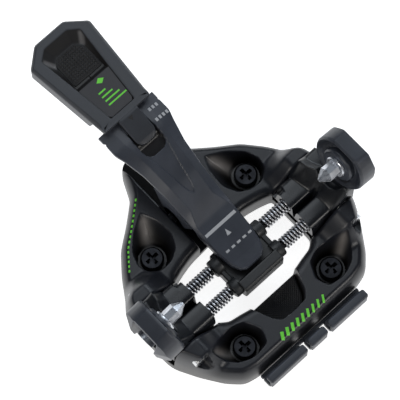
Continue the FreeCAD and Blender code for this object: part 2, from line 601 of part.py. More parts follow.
# ---------------------------------------------------------------- handle
def build_handle():
    top, edge, under = dim("handleTop"), dim("handleEdge"), dim("handleUnder")
    # plan: half widths at stations along the handle
    plan = [(59.6, 10.1), (75, 11.6), (92.8, 13.3), (98.6, 6.4)]
    deep = 32.2

    def plate(inset, height):
        half = [(w - inset, y - (inset if i == len(plan) - 1 else 0)) for i, (y, w) in enumerate(plan)]
        outline = half + [(-x, y) for x, y in reversed(half)]
        return [(x, y, height) for x, y in outline]
    shell = stacked([plate(0, under), plate(0, edge), plate(1.0, top)])
    skirtPlan = [(66.4, 10.85), (75, 11.6), (92.8, 13.3), (98.6, 6.4)]
    outer = [(w, y) for y, w in skirtPlan]
    skirt = prism(outer + [(-x, y) for x, y in reversed(outer)], "z", deep, under + 0.01)
    inner = [(8.8, 60), (8.8, 75), (10.4, 91.6), (5.4, 96.4)]
    skirt = skirt.cut(prism(inner + [(-x, y) for x, y in reversed(inner)], "z", deep - 1, under))
    # tongue that runs back into the lever's groove
    rise = math.tan(math.radians(dim("slideTilt")))
    floor = 32.7 + rise * (48.8 - 44.2)
    tongue = prism([(48.8, floor), (62, floor + rise * 13.2), (62, top), (58.6, top), (49.4, 36.2)],
                   "x", -4.1, 4.1)
    web = box((-2.8, dim("crossPinY") - 2.4, dim("crossPinZ") - 1.9),
              (2.8, dim("crossPinY") + 2.4, 37.5))
    handle = shell.multiFuse([skirt, tongue, web])
    pin = Vector(0, dim("crossPinY"), dim("crossPinZ"))
    handle = handle.cut(bar(dim("crossPinDia") / 2 + 0.01, (-15, pin.y, pin.z), (15, pin.y, pin.z)))
    # shallow recess for the grip pad and the badge
    outline = mirrored([(0, 90.6), (5.4, 90.6), (8.4, 88.0), (5.9, 64.0), (4.6, 62.0), (0, 62.0)])
    handle = handle.cut(prism(outline, "z", top - 0.9, top + 1))
    shape_node("handle", handle.removeSplitter())
    cross = rod("handle_cross_pin", "Dims.crossPinDia / 2", "2 * Dims.crossPinHalf",
                (-dim("crossPinHalf"), pin.y, pin.z), (1, 0, 0))
    finish(cross, "handle_cross_pin")
    grip = mirrored([(0, 90.4), (5.3, 90.4), (8.15, 87.9), (7.1, 76.4), (0, 76.4)])
    shape_node("handle_grip_pad", prism(grip, "z", top - 0.9, top - 0.1))
    badge = mirrored([(0, 76.2), (7.05, 76.2), (5.75, 64.1), (4.5, 62.2), (0, 62.2)])
    shape_node("handle_badge", prism(badge, "z", top - 0.9, top - 0.35))


# ---------------------------------------------------------------- assembly
build_base()
build_grip_pad()
build_crampon_holder()
build_screws()
build_axles()
rightArm = build_arm()
for rightHand in (rightArm, build_cap(rightArm), build_pin(), build_pin_nut()):
    mirror_node(rightHand.Label.replace("right", "left"), rightHand)
build_springs()
build_block()
build_lever()
build_handle()

doc.recompute()
for obj in doc.Objects:
    if "Invalid" in obj.State or "Error" in obj.State:
        raise RuntimeError("%s failed: %s" % (obj.Label, obj.State))
os.makedirs("parts", exist_ok=True)
for obj in finished:
    shape = obj.Shape
    if shape.isNull() or not shape.isValid():
        raise RuntimeError("%s has no valid shape" % obj.Label)
for obj in finished:
    obj.Shape.exportStep("parts/%s.step" % obj.Label)
    print("%-20s solids %d volume %9.2f" % (obj.Label, len(obj.Shape.Solids), obj.Shape.Volume))
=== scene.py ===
import math

import bmesh
import bpy
import numpy as np
from mathutils import Matrix, Vector


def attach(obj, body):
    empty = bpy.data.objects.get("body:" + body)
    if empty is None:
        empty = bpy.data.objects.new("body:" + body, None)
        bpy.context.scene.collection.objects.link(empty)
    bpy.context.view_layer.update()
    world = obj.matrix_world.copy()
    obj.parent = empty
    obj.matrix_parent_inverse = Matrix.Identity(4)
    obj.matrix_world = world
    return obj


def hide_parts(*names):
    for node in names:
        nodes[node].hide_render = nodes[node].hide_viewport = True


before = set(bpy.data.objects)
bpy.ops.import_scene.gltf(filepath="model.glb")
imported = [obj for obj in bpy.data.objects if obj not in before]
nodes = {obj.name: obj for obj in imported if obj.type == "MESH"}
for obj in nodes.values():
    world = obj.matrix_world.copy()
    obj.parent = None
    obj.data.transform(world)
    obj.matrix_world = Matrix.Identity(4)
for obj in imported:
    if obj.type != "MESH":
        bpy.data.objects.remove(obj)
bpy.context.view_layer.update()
print("frame loaded,", len(nodes), "nodes")

# every length below is in millimetres and becomes metres when a mesh is made
metre = 0.001


# small number helpers

def ease(low, high, value):
    # 3t^2 - 2t^3, where t is the value's place between low and high
    t = np.clip((value - low) / (high - low), 0.0, 1.0)
    return t * t * (3.0 - 2.0 * t)


def roundRise(distance, radius):
    # quarter circle: 0 at the edge, 1 at one radius inside it
    t = np.clip(distance / radius, 0.0, 1.0)
    return np.sqrt(1.0 - (1.0 - t) ** 2)


def mirrorHalf(half):
    # right half of an outline, front to rear, closed with its mirror image
    return half + [(-x, y) for x, y in reversed(half) if x > 0]


def softOutline(corners, blur, step=0.2):
    # evenly spaced points along a closed outline, its corners averaged away by a Gaussian along the run
    corners = np.array(corners, float)
    runs = np.linalg.norm(np.roll(corners, -1, 0) - corners, axis=1)
    knots = np.concatenate([[0.0], np.cumsum(runs)])
    length = knots[-1]
    count = int(length / step)
    place = np.arange(count) * length / count
    closed = np.vstack([corners, corners[:1]])
    points = np.stack([np.interp(place, knots, closed[:, k]) for k in (0, 1)], 1)
    turns = np.fft.fftfreq(count, length / count)
    kernel = np.exp(-2.0 * (math.pi * blur * turns) ** 2)
    points = np.real(np.fft.ifft(np.fft.fft(points, axis=0) * kernel[:, None], axis=0))
    return {"place": place, "points": points, "knots": knots, "length": length}


def alongOutline(outline, place):
    # point of the outline at a length along it
    ends = np.append(outline["place"], outline["length"])
    ring = np.vstack([outline["points"], outline["points"][:1]])
    place = np.mod(place, outline["length"])
    return np.stack([np.interp(place, ends, ring[:, k]) for k in (0, 1)], -1)


def insideDistance(x, y, ring):
    # distance to a closed outline, positive inside it
    best = np.full(x.shape, 1e9)
    winding = np.ones(x.shape)
    for a, b in zip(ring, np.roll(ring, -1, 0)):
        ex, ey = b - a
        wx, wy = x - a[0], y - a[1]
        t = np.clip((wx * ex + wy * ey) / max(ex * ex + ey * ey, 1e-12), 0.0, 1.0)
        best = np.minimum(best, (wx - ex * t) ** 2 + (wy - ey * t) ** 2)
        above = (y >= a[1]) & (y < b[1]) & (ex * wy > ey * wx)
        below = (y < a[1]) & (y >= b[1]) & (ex * wy < ey * wx)
        winding = np.where(above | below, -winding, winding)
    return -np.sqrt(best) * winding


# shells: points, quads and triangles of a closed form

def ringQuads(rows, cols, wrap):
    # quads between neighbouring rings of points, each ring closed on itself
    i = np.arange(rows if wrap else rows - 1)[:, None]
    j = np.arange(cols)[None, :]
    k = (j + 1) % cols
    n = (i + 1) % rows
    return np.stack([i * cols + j, i * cols + k, n * cols + k, n * cols + j], -1).reshape(-1, 4)


def faceOut(points, quads, tris):
    # turns every face round where the enclosed volume comes out negative
    def volume(a, b, c):
        return np.einsum("ij,ij->i", a, np.cross(b, c)).sum() / 6.0
    total = volume(points[quads[:, 0]], points[quads[:, 1]], points[quads[:, 2]])
    total += volume(points[quads[:, 0]], points[quads[:, 2]], points[quads[:, 3]])
    if len(tris):
        total += volume(points[tris[:, 0]], points[tris[:, 1]], points[tris[:, 2]])
    if total < 0:
        quads, tris = quads[:, ::-1], tris[:, ::-1]
    return points, quads, tris


def shellOf(rings, wrap=False):
    # closed shell through a stack of rings; the two ends are fans to their middles, or join up
    rows, cols = rings.shape[:2]
    points = rings.reshape(-1, 3)
    quads = ringQuads(rows, cols, wrap)
    tris = np.zeros((0, 3), int)
    if not wrap:
        points = np.vstack([points, rings[0].mean(0), rings[-1].mean(0)])
        j = np.arange(cols)
        k = (j + 1) % cols
        first = np.stack([np.full(cols, rows * cols), k, j], 1)
        last = np.stack([np.full(cols, rows * cols + 1), (rows - 1) * cols + j, (rows - 1) * cols + k], 1)
        tris = np.vstack([first, last])
    return faceOut(points, quads, tris)


def lift(ring, height):
    # flat outline stood at a height, or at one height a point
    return np.stack([ring[:, 0], ring[:, 1], np.broadcast_to(height, len(ring))], 1)


def turned(profile, start, axis, up, sides=64, reach=None):
    # profile of (radius, distance) pairs carried round an axis; reach(angle) may press flats into it
    axis = np.array(axis, float) / np.linalg.norm(axis)
    across = np.cross(axis, up)
    across = across / np.linalg.norm(across)
    upward = np.cross(across, axis)
    angle = np.arange(sides) * 2.0 * math.pi / sides
    profile = np.array(profile, float)
    radius = profile[:, :1] * (np.ones(sides) if reach is None else reach(angle, profile[:, :1]))
    rings = (np.array(start, float) + profile[:, 1][:, None, None] * axis
             + (radius * np.cos(angle))[..., None] * upward + (radius * np.sin(angle))[..., None] * across)
    return shellOf(rings)


def stackOf(sections):
    # shell through flat sections: middle, half sizes, height and squareness of each superellipse
    angle = np.arange(72) * 2.0 * math.pi / 72
    c, s = np.cos(angle), np.sin(angle)
    rings = []
    for z, xMid, yMid, xHalf, yHalf, square in sections:
        fit = (np.abs(c) ** square + np.abs(s) ** square) ** (-1.0 / square)
        rings.append(np.stack([xMid + xHalf * c * fit, yMid + yHalf * s * fit, np.full(72, z)], 1))
    return shellOf(np.array(rings))


def makeMesh(name, shells, sharp=38.0):
    # one mesh of several closed shells, smooth but for edges sharper than the angle
    points, quads, tris, base = [], [], [], 0
    for p, q, t in shells:
        points.append(p)
        quads.append(q + base)
        tris.append(t + base)
        base += len(p)
    points, quads, tris = np.vstack(points), np.vstack(quads), np.vstack(tris)
    corners = np.concatenate([quads.ravel(), tris.ravel()]).astype(np.int32)
    sizes = np.concatenate([np.full(len(quads), 4), np.full(len(tris), 3)]).astype(np.int32)
    starts = np.concatenate([[0], np.cumsum(sizes)[:-1]]).astype(np.int32)
    mesh = bpy.data.meshes.new(name)
    mesh.vertices.add(len(points))
    mesh.vertices.foreach_set("co", (points * metre).astype(np.float32).ravel())
    mesh.loops.add(len(corners))
    mesh.loops.foreach_set("vertex_index", corners)
    mesh.polygons.add(len(sizes))
    mesh.polygons.foreach_set("loop_start", starts)
    mesh.polygons.foreach_set("loop_total", sizes)
    mesh.update(calc_edges=True)
    mesh.validate()
    mesh.shade_smooth()
    mesh.set_sharp_from_angle(angle=math.radians(sharp))
    obj = bpy.data.objects.new(name, mesh)
    bpy.context.scene.collection.objects.link(obj)
    return obj


def mark(obj, name, values):
    # one number a vertex, read by the finish
    kept = obj.data.attributes.new(name, "FLOAT", "POINT")
    kept.data.foreach_set("value", np.asarray(values, np.float32))
    return obj


def applyAll(obj, sharp=38.0):
    # bakes the modifiers into the mesh
    graph = bpy.context.evaluated_depsgraph_get()
    graph.update()
    mesh = bpy.data.meshes.new_from_object(obj.evaluated_get(graph))
    old = obj.data
    obj.modifiers.clear()
    obj.data = mesh
    bpy.data.meshes.remove(old)
    mesh.shade_smooth()
    mesh.set_sharp_from_angle(angle=math.radians(sharp))
    return obj


def carve(obj, cutters, sharp=38.0):
    # takes each closed cutter shell out of the piece
    tools = []
    for number, shell in enumerate(cutters):
        tool = makeMesh("%s_tool%d" % (obj.name, number), [shell])
        cut = obj.modifiers.new("carve%d" % number, "BOOLEAN")
        cut.operation, cut.solver, cut.object = "DIFFERENCE", "EXACT", tool
        tools.append(tool)
    applyAll(obj, sharp)
    for tool in tools:
        bpy.data.objects.remove(tool)
    return obj


def place(obj, body, slot, material, *replaced):
    obj.data.materials.clear()
    obj.data.materials.append(material)
    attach(obj, body)
    if replaced:
        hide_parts(*replaced)
    return obj


# finishes

class Value:
    # a node socket; arithmetic on it adds Math nodes
    def __init__(self, finish, socket):
        self.finish, self.socket = finish, socket

    def work(self, operation, *others):
        return self.finish.add("ShaderNodeMath", {"operation": operation}, dict(enumerate(others)))

    def __add__(self, other):
        return self.work("ADD", self, other)

    def __sub__(self, other):
        return self.work("SUBTRACT", self, other)

    def __rsub__(self, other):
        return self.work("SUBTRACT", other, self)

    def __mul__(self, other):
        return self.work("MULTIPLY", self, other)

    def __pow__(self, other):
        return self.work("POWER", self, other)

    __radd__ = __add__
    __rmul__ = __mul__


class Finish:
    # a material: the shader's fixed values at once, then nodes through add()
    def __init__(self, name, colour, roughness, **fixed):
        self.material = bpy.data.materials.new(name)
        self.material.use_nodes = True
        self.tree = self.material.node_tree
        self.tree.nodes.clear()
        output = self.tree.nodes.new("ShaderNodeOutputMaterial")
        self.shader = self.tree.nodes.new("ShaderNodeBsdfPrincipled")
        self.tree.links.new(self.shader.outputs[0], output.inputs["Surface"])
        self.shader.inputs["Base Color"].default_value = (*colour, 1.0)
        self.shader.inputs["Roughness"].default_value = roughness
        for socket, value in fixed.items():
            self.shader.inputs[socket.replace("_", " ")].default_value = value
        self.colour, self.roughness = colour, roughness

    def add(self, kind, settings, inputs, output=0):
        node = self.tree.nodes.new(kind)
        for key, value in settings.items():
            if key == "stops":
                ramp = node.color_ramp.elements
                while len(ramp) < len(value):
                    ramp.new(0.5)
                for stop, (spot, level) in zip(ramp, value):
                    stop.position = spot
                    stop.color = level if len(level) == 4 else (*level, 1.0)
            else:
                setattr(node, key, value)
        for key, value in inputs.items():
            if isinstance(value, Value):
                self.tree.links.new(value.socket, node.inputs[key])
            else:
                node.inputs[key].default_value = value
        return Value(self, node.outputs[output])

    def feed(self, socket, value):
        self.tree.links.new(value.socket, self.shader.inputs[socket])

    def spot(self, stretch=(1.0, 1.0, 1.0), turn=(0.0, 0.0, 0.0)):
        # the piece's own coordinates, stretched and turned for a pattern
        here = self.add("ShaderNodeTexCoord", {}, {}, "Object")
        return self.add("ShaderNodeMapping", {}, {"Vector": here, "Rotation": turn, "Scale": stretch})

    def noise(self, size, detail=2.0, stretch=(1.0, 1.0, 1.0), rough=0.5):
        # noise whose lumps are about `size` millimetres across
        return self.add("ShaderNodeTexNoise", {}, {
            "Vector": self.spot(stretch), "Scale": 1.0 / (size * metre), "Detail": detail,
            "Roughness": rough})

    def ramp(self, value, low, high):
        # 0 below low, 1 above high
        return self.add("ShaderNodeMapRange", {"clamp": True}, {
            "Value": value, "From Min": low, "From Max": high, "To Min": 0.0, "To Max": 1.0})

    def blend(self, amount, first, second):
        def asColour(c):
            return (*c, 1.0) if isinstance(c, tuple) and len(c) == 3 else c
        return self.add("ShaderNodeMix", {"data_type": "RGBA"}, {
            0: amount, 6: asColour(first), 7: asColour(second)}, 2)

    def bump(self, height, strength, distance):
        # distance in millimetres
        return self.add("ShaderNodeBump", {}, {
            "Height": height, "Strength": strength, "Distance": distance * metre})


def shade(colour, factor):
    return tuple(min(1.0, c * factor) for c in colour)


# colours of painted shade in low places, of painted shade in recesses, and of painted highlights
lowShadeColour, recessShadeColour, paintedHighlightColour = (0.0030, 0.0026, 0.0024), (0.0050, 0.0036, 0.0030), (0.20, 0.185, 0.175)


def mouldedPlastic(name, colour, roughness, grain=0.35, depth=0.02, worn=0.35, lowShade=None, sunk=False,
                   **fixed):
    # moulded plastic: fine spark-eroded grain, faint flow marks, paler rubbed edges, a few scratches;
    # optional painted shade in low places and recesses, and painted highlights where marked
    f = Finish(name, colour, roughness, **fixed)
    cloud = f.noise(9.0, 3.0)
    fine = f.noise(grain, 2.0, rough=0.6)
    streak = f.noise(1.2, 4.0, (0.35, 3.0, 1.0))
    scratch = f.ramp(streak, 0.68, 0.74) * 0.5
    edge = f.ramp(f.add("ShaderNodeNewGeometry", {}, {}, "Pointiness"), 0.515, 0.56)
    rub = f.ramp(edge * (cloud + 0.25), 0.3, 0.8)
    tint = f.blend(f.ramp(cloud, 0.3, 0.7), shade(colour, 0.86), shade(colour, 1.16))
    tint = f.blend(rub * worn, tint, shade(colour, 2.6))
    tint = f.blend(scratch * 0.25, tint, shade(colour, 2.2))
    if lowShade:
        # painted shade: brown-black colour in the low places, fading out between the two heights
        tall = f.add("ShaderNodeSeparateXYZ", {}, {0: f.spot()}, 2)
        low, high = lowShade
        tint = f.blend(f.ramp(tall, low * metre, high * metre), lowShadeColour, tint)
    if sunk:
        # painted shade: walls and floor of the recess carry a number that darkens them
        deep = f.add("ShaderNodeAttribute", {"attribute_name": "sunk"}, {}, "Fac")
        tint = f.blend(deep * 0.9, tint, recessShadeColour)
    if lowShade or sunk:
        # painted highlight: slopes and corners carry a number that lightens them
        highlightShare = f.add("ShaderNodeAttribute", {"attribute_name": "sheen"}, {}, "Fac")
        tint = f.blend(highlightShare, tint, paintedHighlightColour)
    f.feed("Base Color", tint)
    f.feed("Roughness", f.ramp(fine, 0.2, 0.8) * 0.10 + (roughness - 0.05) + scratch * 0.12
           + f.ramp(cloud, 0.3, 0.7) * 0.06)
    f.feed("Normal", f.bump(fine + streak * 0.25, 0.5, depth))
    return f.material


def bareMetal(name, colour, roughness, stretch=(1.0, 1.0, 1.0), size=0.25, depth=0.008, stain=0.5):
    # steel: fine lines of turning or drawing, cloudy stains, small dents
    f = Finish(name, colour, roughness, Metallic=1.0)
    lines = f.noise(size, 3.0, stretch)
    cloud = f.noise(2.6, 3.0)
    tint = f.blend(f.ramp(cloud, 0.35, 0.7) * stain, colour, shade(colour, 0.62))
    f.feed("Base Color", tint)
    f.feed("Roughness", f.ramp(lines, 0.25, 0.75) * 0.16 + (roughness - 0.06)
           + f.ramp(cloud, 0.4, 0.7) * 0.08)
    f.feed("Normal", f.bump(lines, 0.35, depth))
    return f.material


def rubber(name, colour):
    f = Finish(name, colour, 0.72)
    fine = f.noise(0.3, 3.0)
    dust = f.ramp(f.noise(2.2, 4.0), 0.5, 0.75)
    f.feed("Base Color", f.blend(dust * 0.4, colour, shade(colour, 1.9)))
    f.feed("Roughness", f.ramp(fine, 0.2, 0.8) * 0.14 + 0.62)
    f.feed("Normal", f.bump(fine, 0.4, 0.03))
    return f.material


def printedInk(name, colour, roughness=0.5):
    # pad print: slightly uneven ink with pinholes
    f = Finish(name, colour, roughness)
    fine = f.noise(0.28, 3.0)
    holes = f.ramp(fine, 0.62, 0.75)
    f.feed("Base Color", f.blend(holes * 0.35, colour, shade(colour, 0.45)))
    f.feed("Roughness", f.ramp(fine, 0.3, 0.7) * 0.15 + (roughness - 0.07))
    f.feed("Normal", f.bump(fine, 0.3, 0.01))
    return f.material


finishes = {
    # the base's colour carries painted shade below 5 to 12 mm
    "base": mouldedPlastic("satinBlackNylon", (0.0140, 0.0155, 0.0205), 0.31,
                           grain=0.32, depth=0.012, worn=0.35, lowShade=(5.0, 12.0), Specular_IOR_Level=0.4),
    "arm": mouldedPlastic("blackAnodisedArm", (0.0065, 0.0076, 0.0100), 0.28,
                          grain=0.22, depth=0.010, worn=0.5),
    "cap": mouldedPlastic("blueBlackBumper", (0.022, 0.026, 0.036), 0.38, grain=0.4, depth=0.014, worn=0.3),
    # lever and handle carry painted shade in their recesses where marked
    "lever": mouldedPlastic("slateLever", (0.039, 0.044, 0.057), 0.36,
                            grain=0.3, depth=0.014, worn=0.25, sunk=True),
    "handle": mouldedPlastic("slateHandle", (0.026, 0.029, 0.036), 0.42,
                             grain=0.3, depth=0.014, worn=0.25, sunk=True),
    "block": mouldedPlastic("blackSlideBlock", (0.011, 0.012, 0.013), 0.40, grain=0.3, depth=0.014, worn=0.4),
    "holder": mouldedPlastic("slateHolder", (0.028, 0.033, 0.044), 0.42, grain=0.3, depth=0.012, worn=0.4),
    "pad": rubber("blackGripRubber", (0.0145, 0.0145, 0.0155)),
    "pin": bareMetal("hardenedPin", (0.62, 0.64, 0.68), 0.27, (0.2, 1.0, 1.0), 0.6,
                     depth=0.001, stain=0.25),
    "spring": bareMetal("springWire", (0.62, 0.63, 0.66), 0.26, (1.0, 1.0, 1.0), 0.3),
    "axle": bareMetal("groundAxle", (0.66, 0.67, 0.68), 0.26, (1.0, 0.15, 1.0), 0.2),
    "rod": bareMetal("darkRod", (0.015, 0.016, 0.018), 0.45, (0.2, 1.0, 1.0), 0.25),
    "screw": bareMetal("blackOxideScrew", (0.030, 0.031, 0.035), 0.38, (1.0, 1.0, 1.0), 0.3, stain=0.7),
    "white": printedInk("whiteInk", (0.42, 0.43, 0.45)),
    "green": printedInk("greenInk", (0.155, 0.72, 0.045)),
    "badge": mouldedPlastic("badgePanel", (0.013, 0.012, 0.015), 0.42, grain=0.25, depth=0.010, worn=0.1),
}
print("finishes made")


# base

base = {
    # matching points of the outer edge and of the opening's edge, front to rear
    "pairs": [
        ((0, 57.5), (0, 16.2)), ((6, 57), (6, 15.9)), ((8.2, 54.8), (8.2, 15.8)),
        ((8.24, 54.76), (8.24, 15.79)),
        ((9, 54), (8.8, 15.76)), ((13, 45.5), (10.4, 15.68)), ((20.4, 39.5), (12.6, 15.5)),
        ((27.8, 34.2), (15, 15)), ((33.5, 27.5), (17.4, 14.5)), ((38.2, 20.5), (20, 13.72)),
        ((41, 17.5), (21.6, 13.2)), ((42.2, 14), (22.5, 12.93)), ((42.2, 12.76), (22.6, 12.78)),
        ((42.2, 12.70), (22.6, 12.70)), ((42.2, -4), (22.6, -5.2)), ((41.95, -6.2), (22.5, -6.3)),
        ((41.56, -7.20), (21.35, -7.18)), ((41.55, -7.26), (21.27, -7.24)), ((41.4, -8), (20.3, -8)),
        ((37.4, -15.5), (18.5, -9.4)), ((32.6, -22.8), (14, -10.2)), ((28, -27.4), (11.4, -10.85)),
        ((22.4, -28.7), (9.6, -11.2)), ((0, -28.8), (0, -11.2)),
    ],
    "troughPairs": (13, 16),      # the arm's trough runs between these
    "channelPair": 2,             # the lever's channel ends here
    "columnStep": 0.42,
    "rows": 112,
    "footRise": 0.4,              # small step round the underside's edges
    "plateTop": 4.0,
    "lobeTop": 11.0,
    "earRise": 7.6,
    "troughFloor": 4.6,
    "channelFloor": 2.6,
    "shoulder": 3.2,              # rounding of the outer edge
    "lip": 3.4,                   # rounding towards the opening
    "lipDrop": 2.6,
    "seatFloor": 3.4,
    "seatRadius": 5.0,
    "padFloor": 3.0,
    "frontScrew": (21.75, 25.0),
    "rearScrew": (20.0, -18.7),
    "frontRim": [(14.6, 38.6), (21, 35), (26.2, 30), (28, 25), (26.9, 20.8), (23, 18.4), (18.4, 18.6),
                 (14.2, 21), (11.7, 26), (12.2, 33)],
    "rearRim": [(15.2, -12.9), (20, -11.2), (26, -11.9), (31.6, -14.3), (29.4, -19), (26, -22.6),
                (20.6, -24.6), (14.2, -23.8), (12.4, -18.8)],
    "padSeat": [(0, -8), (10.6, -8), (10.4, -10), (9.8, -13), (7.4, -18.8), (5.2, -21.4), (0, -21.8)],
    # recess, two ends of the slope in it that gets a painted highlight, its width
    "slopes": [("frontRim", (16.0, 35.6), (19.0, 30.6), 1.7), ("rearRim", (29.0, -15.2), (25.4, -16.8), 1.5)],
    "axle": (35.5, 14.0, 2.6),
    "axleEnd": -14.1,
}


def baseHeight(x, y, inTrough, inChannel, outer, inner):
    # top of the base: lobes and ears with rounded shoulders, then the recesses taken out of it
    b = base
    ax = np.abs(x)
    fromEdge = insideDistance(x, y, outer)
    fromOpening = -insideDistance(x, y, inner)
    ear = ease(23.0, 33.5, ax) * np.maximum(ease(23.5, 17.0, y) * (y > 0), ease(-20.5, -13.2, y) * (y < 0))
    tilt = 1.0 - 0.05 * np.clip(-y - 7.0, 0, 7) / 7 * (y < 0)
    top = b["lobeTop"] + b["earRise"] * ear * tilt
    # soft roll of the ridge away from the trough's edge
    wall = np.where(y > 0, y - 12.74, -7.24 - y)
    roll = np.where((ax > 21.5) & (wall > 0), 1.0 - roundRise(wall + 0.02, 1.3), 0.0)
    top = top - 1.2 * roll
    lip = 1.0 - roundRise(fromOpening, b["lip"])
    top = top - b["lipDrop"] * lip * (1.0 - ease(21, 23, ax) * 0.5)
    channelSide = np.clip(ax - 8.2, 0, 3)
    top = top - 0.9 * (1.0 - roundRise(channelSide, 1.0)) * (y > 12)
    height = b["plateTop"] + (top - b["plateTop"]) * roundRise(fromEdge, b["shoulder"])
    # screw recesses: between the rim and the seat's ring the floor falls in proportion
    for rim, (sx, sy) in (("frontRim", b["frontScrew"]), ("rearRim", b["rearScrew"])):
        ring = softOutline(b[rim], 0.9, 0.4)["points"]
        inside = insideDistance(ax, y, ring)
        toSeat = np.clip(np.hypot(ax - sx, y - sy) - b["seatRadius"], 0, None)
        deep = np.clip(inside, 0, None)
        deep = np.sqrt(deep ** 2 + 0.12) - math.sqrt(0.12)
        share = deep / (deep + toSeat + 1e-6)
        share = 1.0 - (1.0 - share) ** 1.35
        bowl = height * (1.0 - share) + b["seatFloor"] * share
        height = np.where(inside > 0, bowl, height)
    # seat of the rear pad
    seat = insideDistance(x, y, softOutline(mirrorHalf(b["padSeat"]), 0.4, 0.3)["points"])
    height = height + (b["padFloor"] - height) * ease(-0.15, 0.55, seat)
    # half-round notch behind each axle's end
    axleX, axleZ, axleR = b["axle"]
    off = np.abs(ax - axleX)
    groove = axleZ - np.sqrt(np.clip(axleR ** 2 - off ** 2, 0, None))
    notch = (y < b["axleEnd"]) & (y > b["axleEnd"] - 4.6) & (off < axleR)
    height = np.where(notch, np.minimum(height, groove), height)
    height = np.where(inTrough, np.minimum(height, b["troughFloor"]), height)
    height = np.where(inChannel, np.minimum(height, b["channelFloor"]), height)
    return height


def baseOutlines():
    half = base["pairs"]
    full = half + [((-o[0], o[1]), (-i[0], i[1])) for o, i in reversed(half) if o[0] > 0]
    return softOutline([o for o, _ in full], 1.3), softOutline([i for _, i in full], 0.8)


def makeBase():
    b = base
    outer, inner = baseOutlines()
    count = len(outer["knots"]) - 1
    runs = np.maximum(np.diff(outer["knots"]), np.diff(inner["knots"]))
    steps = np.maximum(1, np.ceil(runs / b["columnStep"])).astype(int)
    # columns: the same share of each stretch on both outlines
    stretch = np.repeat(np.arange(count), steps)
    share = np.concatenate([np.arange(n) / n for n in steps])
    edge = alongOutline(outer, outer["knots"][stretch] + share * np.diff(outer["knots"])[stretch])
    hole = alongOutline(inner, inner["knots"][stretch] + share * np.diff(inner["knots"])[stretch])
    low, high = b["troughPairs"]
    station = stretch + share
    inTrough = ((station >= low) & (station <= high)) | ((station >= count - high) & (station <= count - low))
    inChannel = (station <= b["channelPair"]) | (station >= count - b["channelPair"])
    u = np.linspace(0, 1, b["rows"])
    t = (0.5 * u + 0.5 * 0.5 * (1 - np.cos(math.pi * u)))[:, None]
    x = edge[None, :, 0] * (1 - t) + hole[None, :, 0] * t
    y = edge[None, :, 1] * (1 - t) + hole[None, :, 1] * t
    flags = [np.broadcast_to(flag, x.shape) for flag in (inTrough, inChannel)]
    z = baseHeight(x, y, *flags, outer["points"][::3], inner["points"][::3])
    top = np.stack([x, y, z], -1)
    innerLow, outerLow = lift(hole, b["footRise"]), lift(edge, b["footRise"])
    walls = [top[-1] * (1 - f) + innerLow * f for f in (0.35, 0.7)]
    bottomIn = innerLow + (outerLow - innerLow) * 0.02
    bottomOut = outerLow + (innerLow - outerLow) * 0.02
    bottomIn[:, 2] = bottomOut[:, 2] = 0.0
    rise = [outerLow * (1 - f) + top[0] * f for f in (0.3, 0.65)]
    rings = np.concatenate([top, np.array(walls + [innerLow, bottomIn, bottomOut, outerLow] + rise)])
    # painted highlight: the slopes from each recess's apex down to its screw are painted paler
    sheen = np.zeros(rings.shape[:2])
    for rim, (ax, ay), (sx, sy), wide in b["slopes"]:
        ex, ey = sx - ax, sy - ay
        share = np.clip(((np.abs(x) - ax) * ex + (y - ay) * ey) / (ex * ex + ey * ey), 0, 1)
        away = np.hypot(np.abs(x) - ax - ex * share, y - ay - ey * share)
        inside = insideDistance(np.abs(x), y, softOutline(b[rim], 0.9, 0.4)["points"])
        sheen[:len(x)] = np.maximum(sheen[:len(x)], np.exp(-(away / wide) ** 2) * ease(0.1, 1.3, inside))
    return mark(makeMesh("base_shell", [shellOf(rings, True)], 50.0), "sheen", sheen.ravel())


baseShell = place(makeBase(), "root_base", "base_plastic", finishes["base"], "base_plate")
print("base made,", len(baseShell.data.polygons), "faces")


# ribbed rear pad

pad = {"pitch": 0.95, "height": 0.32, "floor": 3.04, "top": 4.35, "step": 0.14, "rows": 70, "skip": 3,
       "sharpness": 0.6, "diagonal": True, "spine": (0.25, -15.6), "border": (0.3, 0.7), "edge": (0.5, 0.5),
       "outline": [(0, -11.3), (9.3, -11.3), (8.9, -13.2), (6.7, -18.6), (4.7, -20.9), (0, -21.2)]}


def studdedPad(name, ring, values):
    # rings of the outline shrinking to its middle line; on top stand studs |sin(a) sin(b)|^sharpness,
    # where a and b run along the pad or slantwise across it
    v = values
    t = np.linspace(0, 1, v["rows"])[:, None]
    share, spineY = v["spine"]
    spine = np.stack([ring[:, 0] * share, np.full(len(ring), spineY)], 1)
    x = ring[None, :, 0] * (1 - t) + spine[None, :, 0] * t
    y = ring[None, :, 1] * (1 - t) + spine[None, :, 1] * t
    inside = insideDistance(x, y, ring[::v["skip"]])
    a, b = (x + y, x - y) if v["diagonal"] else (x, y)
    stud = np.abs(np.sin(a * math.pi / v["pitch"]) * np.sin(b * math.pi / v["pitch"])) ** v["sharpness"]
    drop, reach = v["edge"]
    z = v["top"] + v["height"] * stud * ease(*v["border"], inside) - drop * (1 - roundRise(inside, reach))
    top = np.stack([x, y, z], -1)
    return makeMesh(name, [shellOf(np.concatenate([lift(ring, v["floor"])[None], top]))], 60.0)


padRing = softOutline(mirrorHalf(pad["outline"]), 0.35, pad["step"])["points"]
place(studdedPad("rear_pad", padRing, pad), "root_base", "grip_rubber", finishes["pad"], "rear_grip_pad")


# crampon holder

holder = {"tabs": [(-22.4, -5.5), (-3.8, 3.8), (5.5, 22.4)], "half": 22.4, "outer": -34.6, "inner": -31.4,
          "top": 7.8, "under": 6.1, "stripTop": 2.2, "stripIn": -28.9, "stripWide": 1.3, "wall": 1.5}


def rolledLevels(low, high, edge):
    # levels and insets that roll both edges of a block over a quarter circle
    angle = np.linspace(0, math.pi / 2, 6)
    levels = [(low + edge * (1 - math.sin(a)), edge * (1 - math.cos(a))) for a in angle[::-1]]
    return levels + [(high - edge * (1 - math.sin(a)), edge * (1 - math.cos(a))) for a in angle]


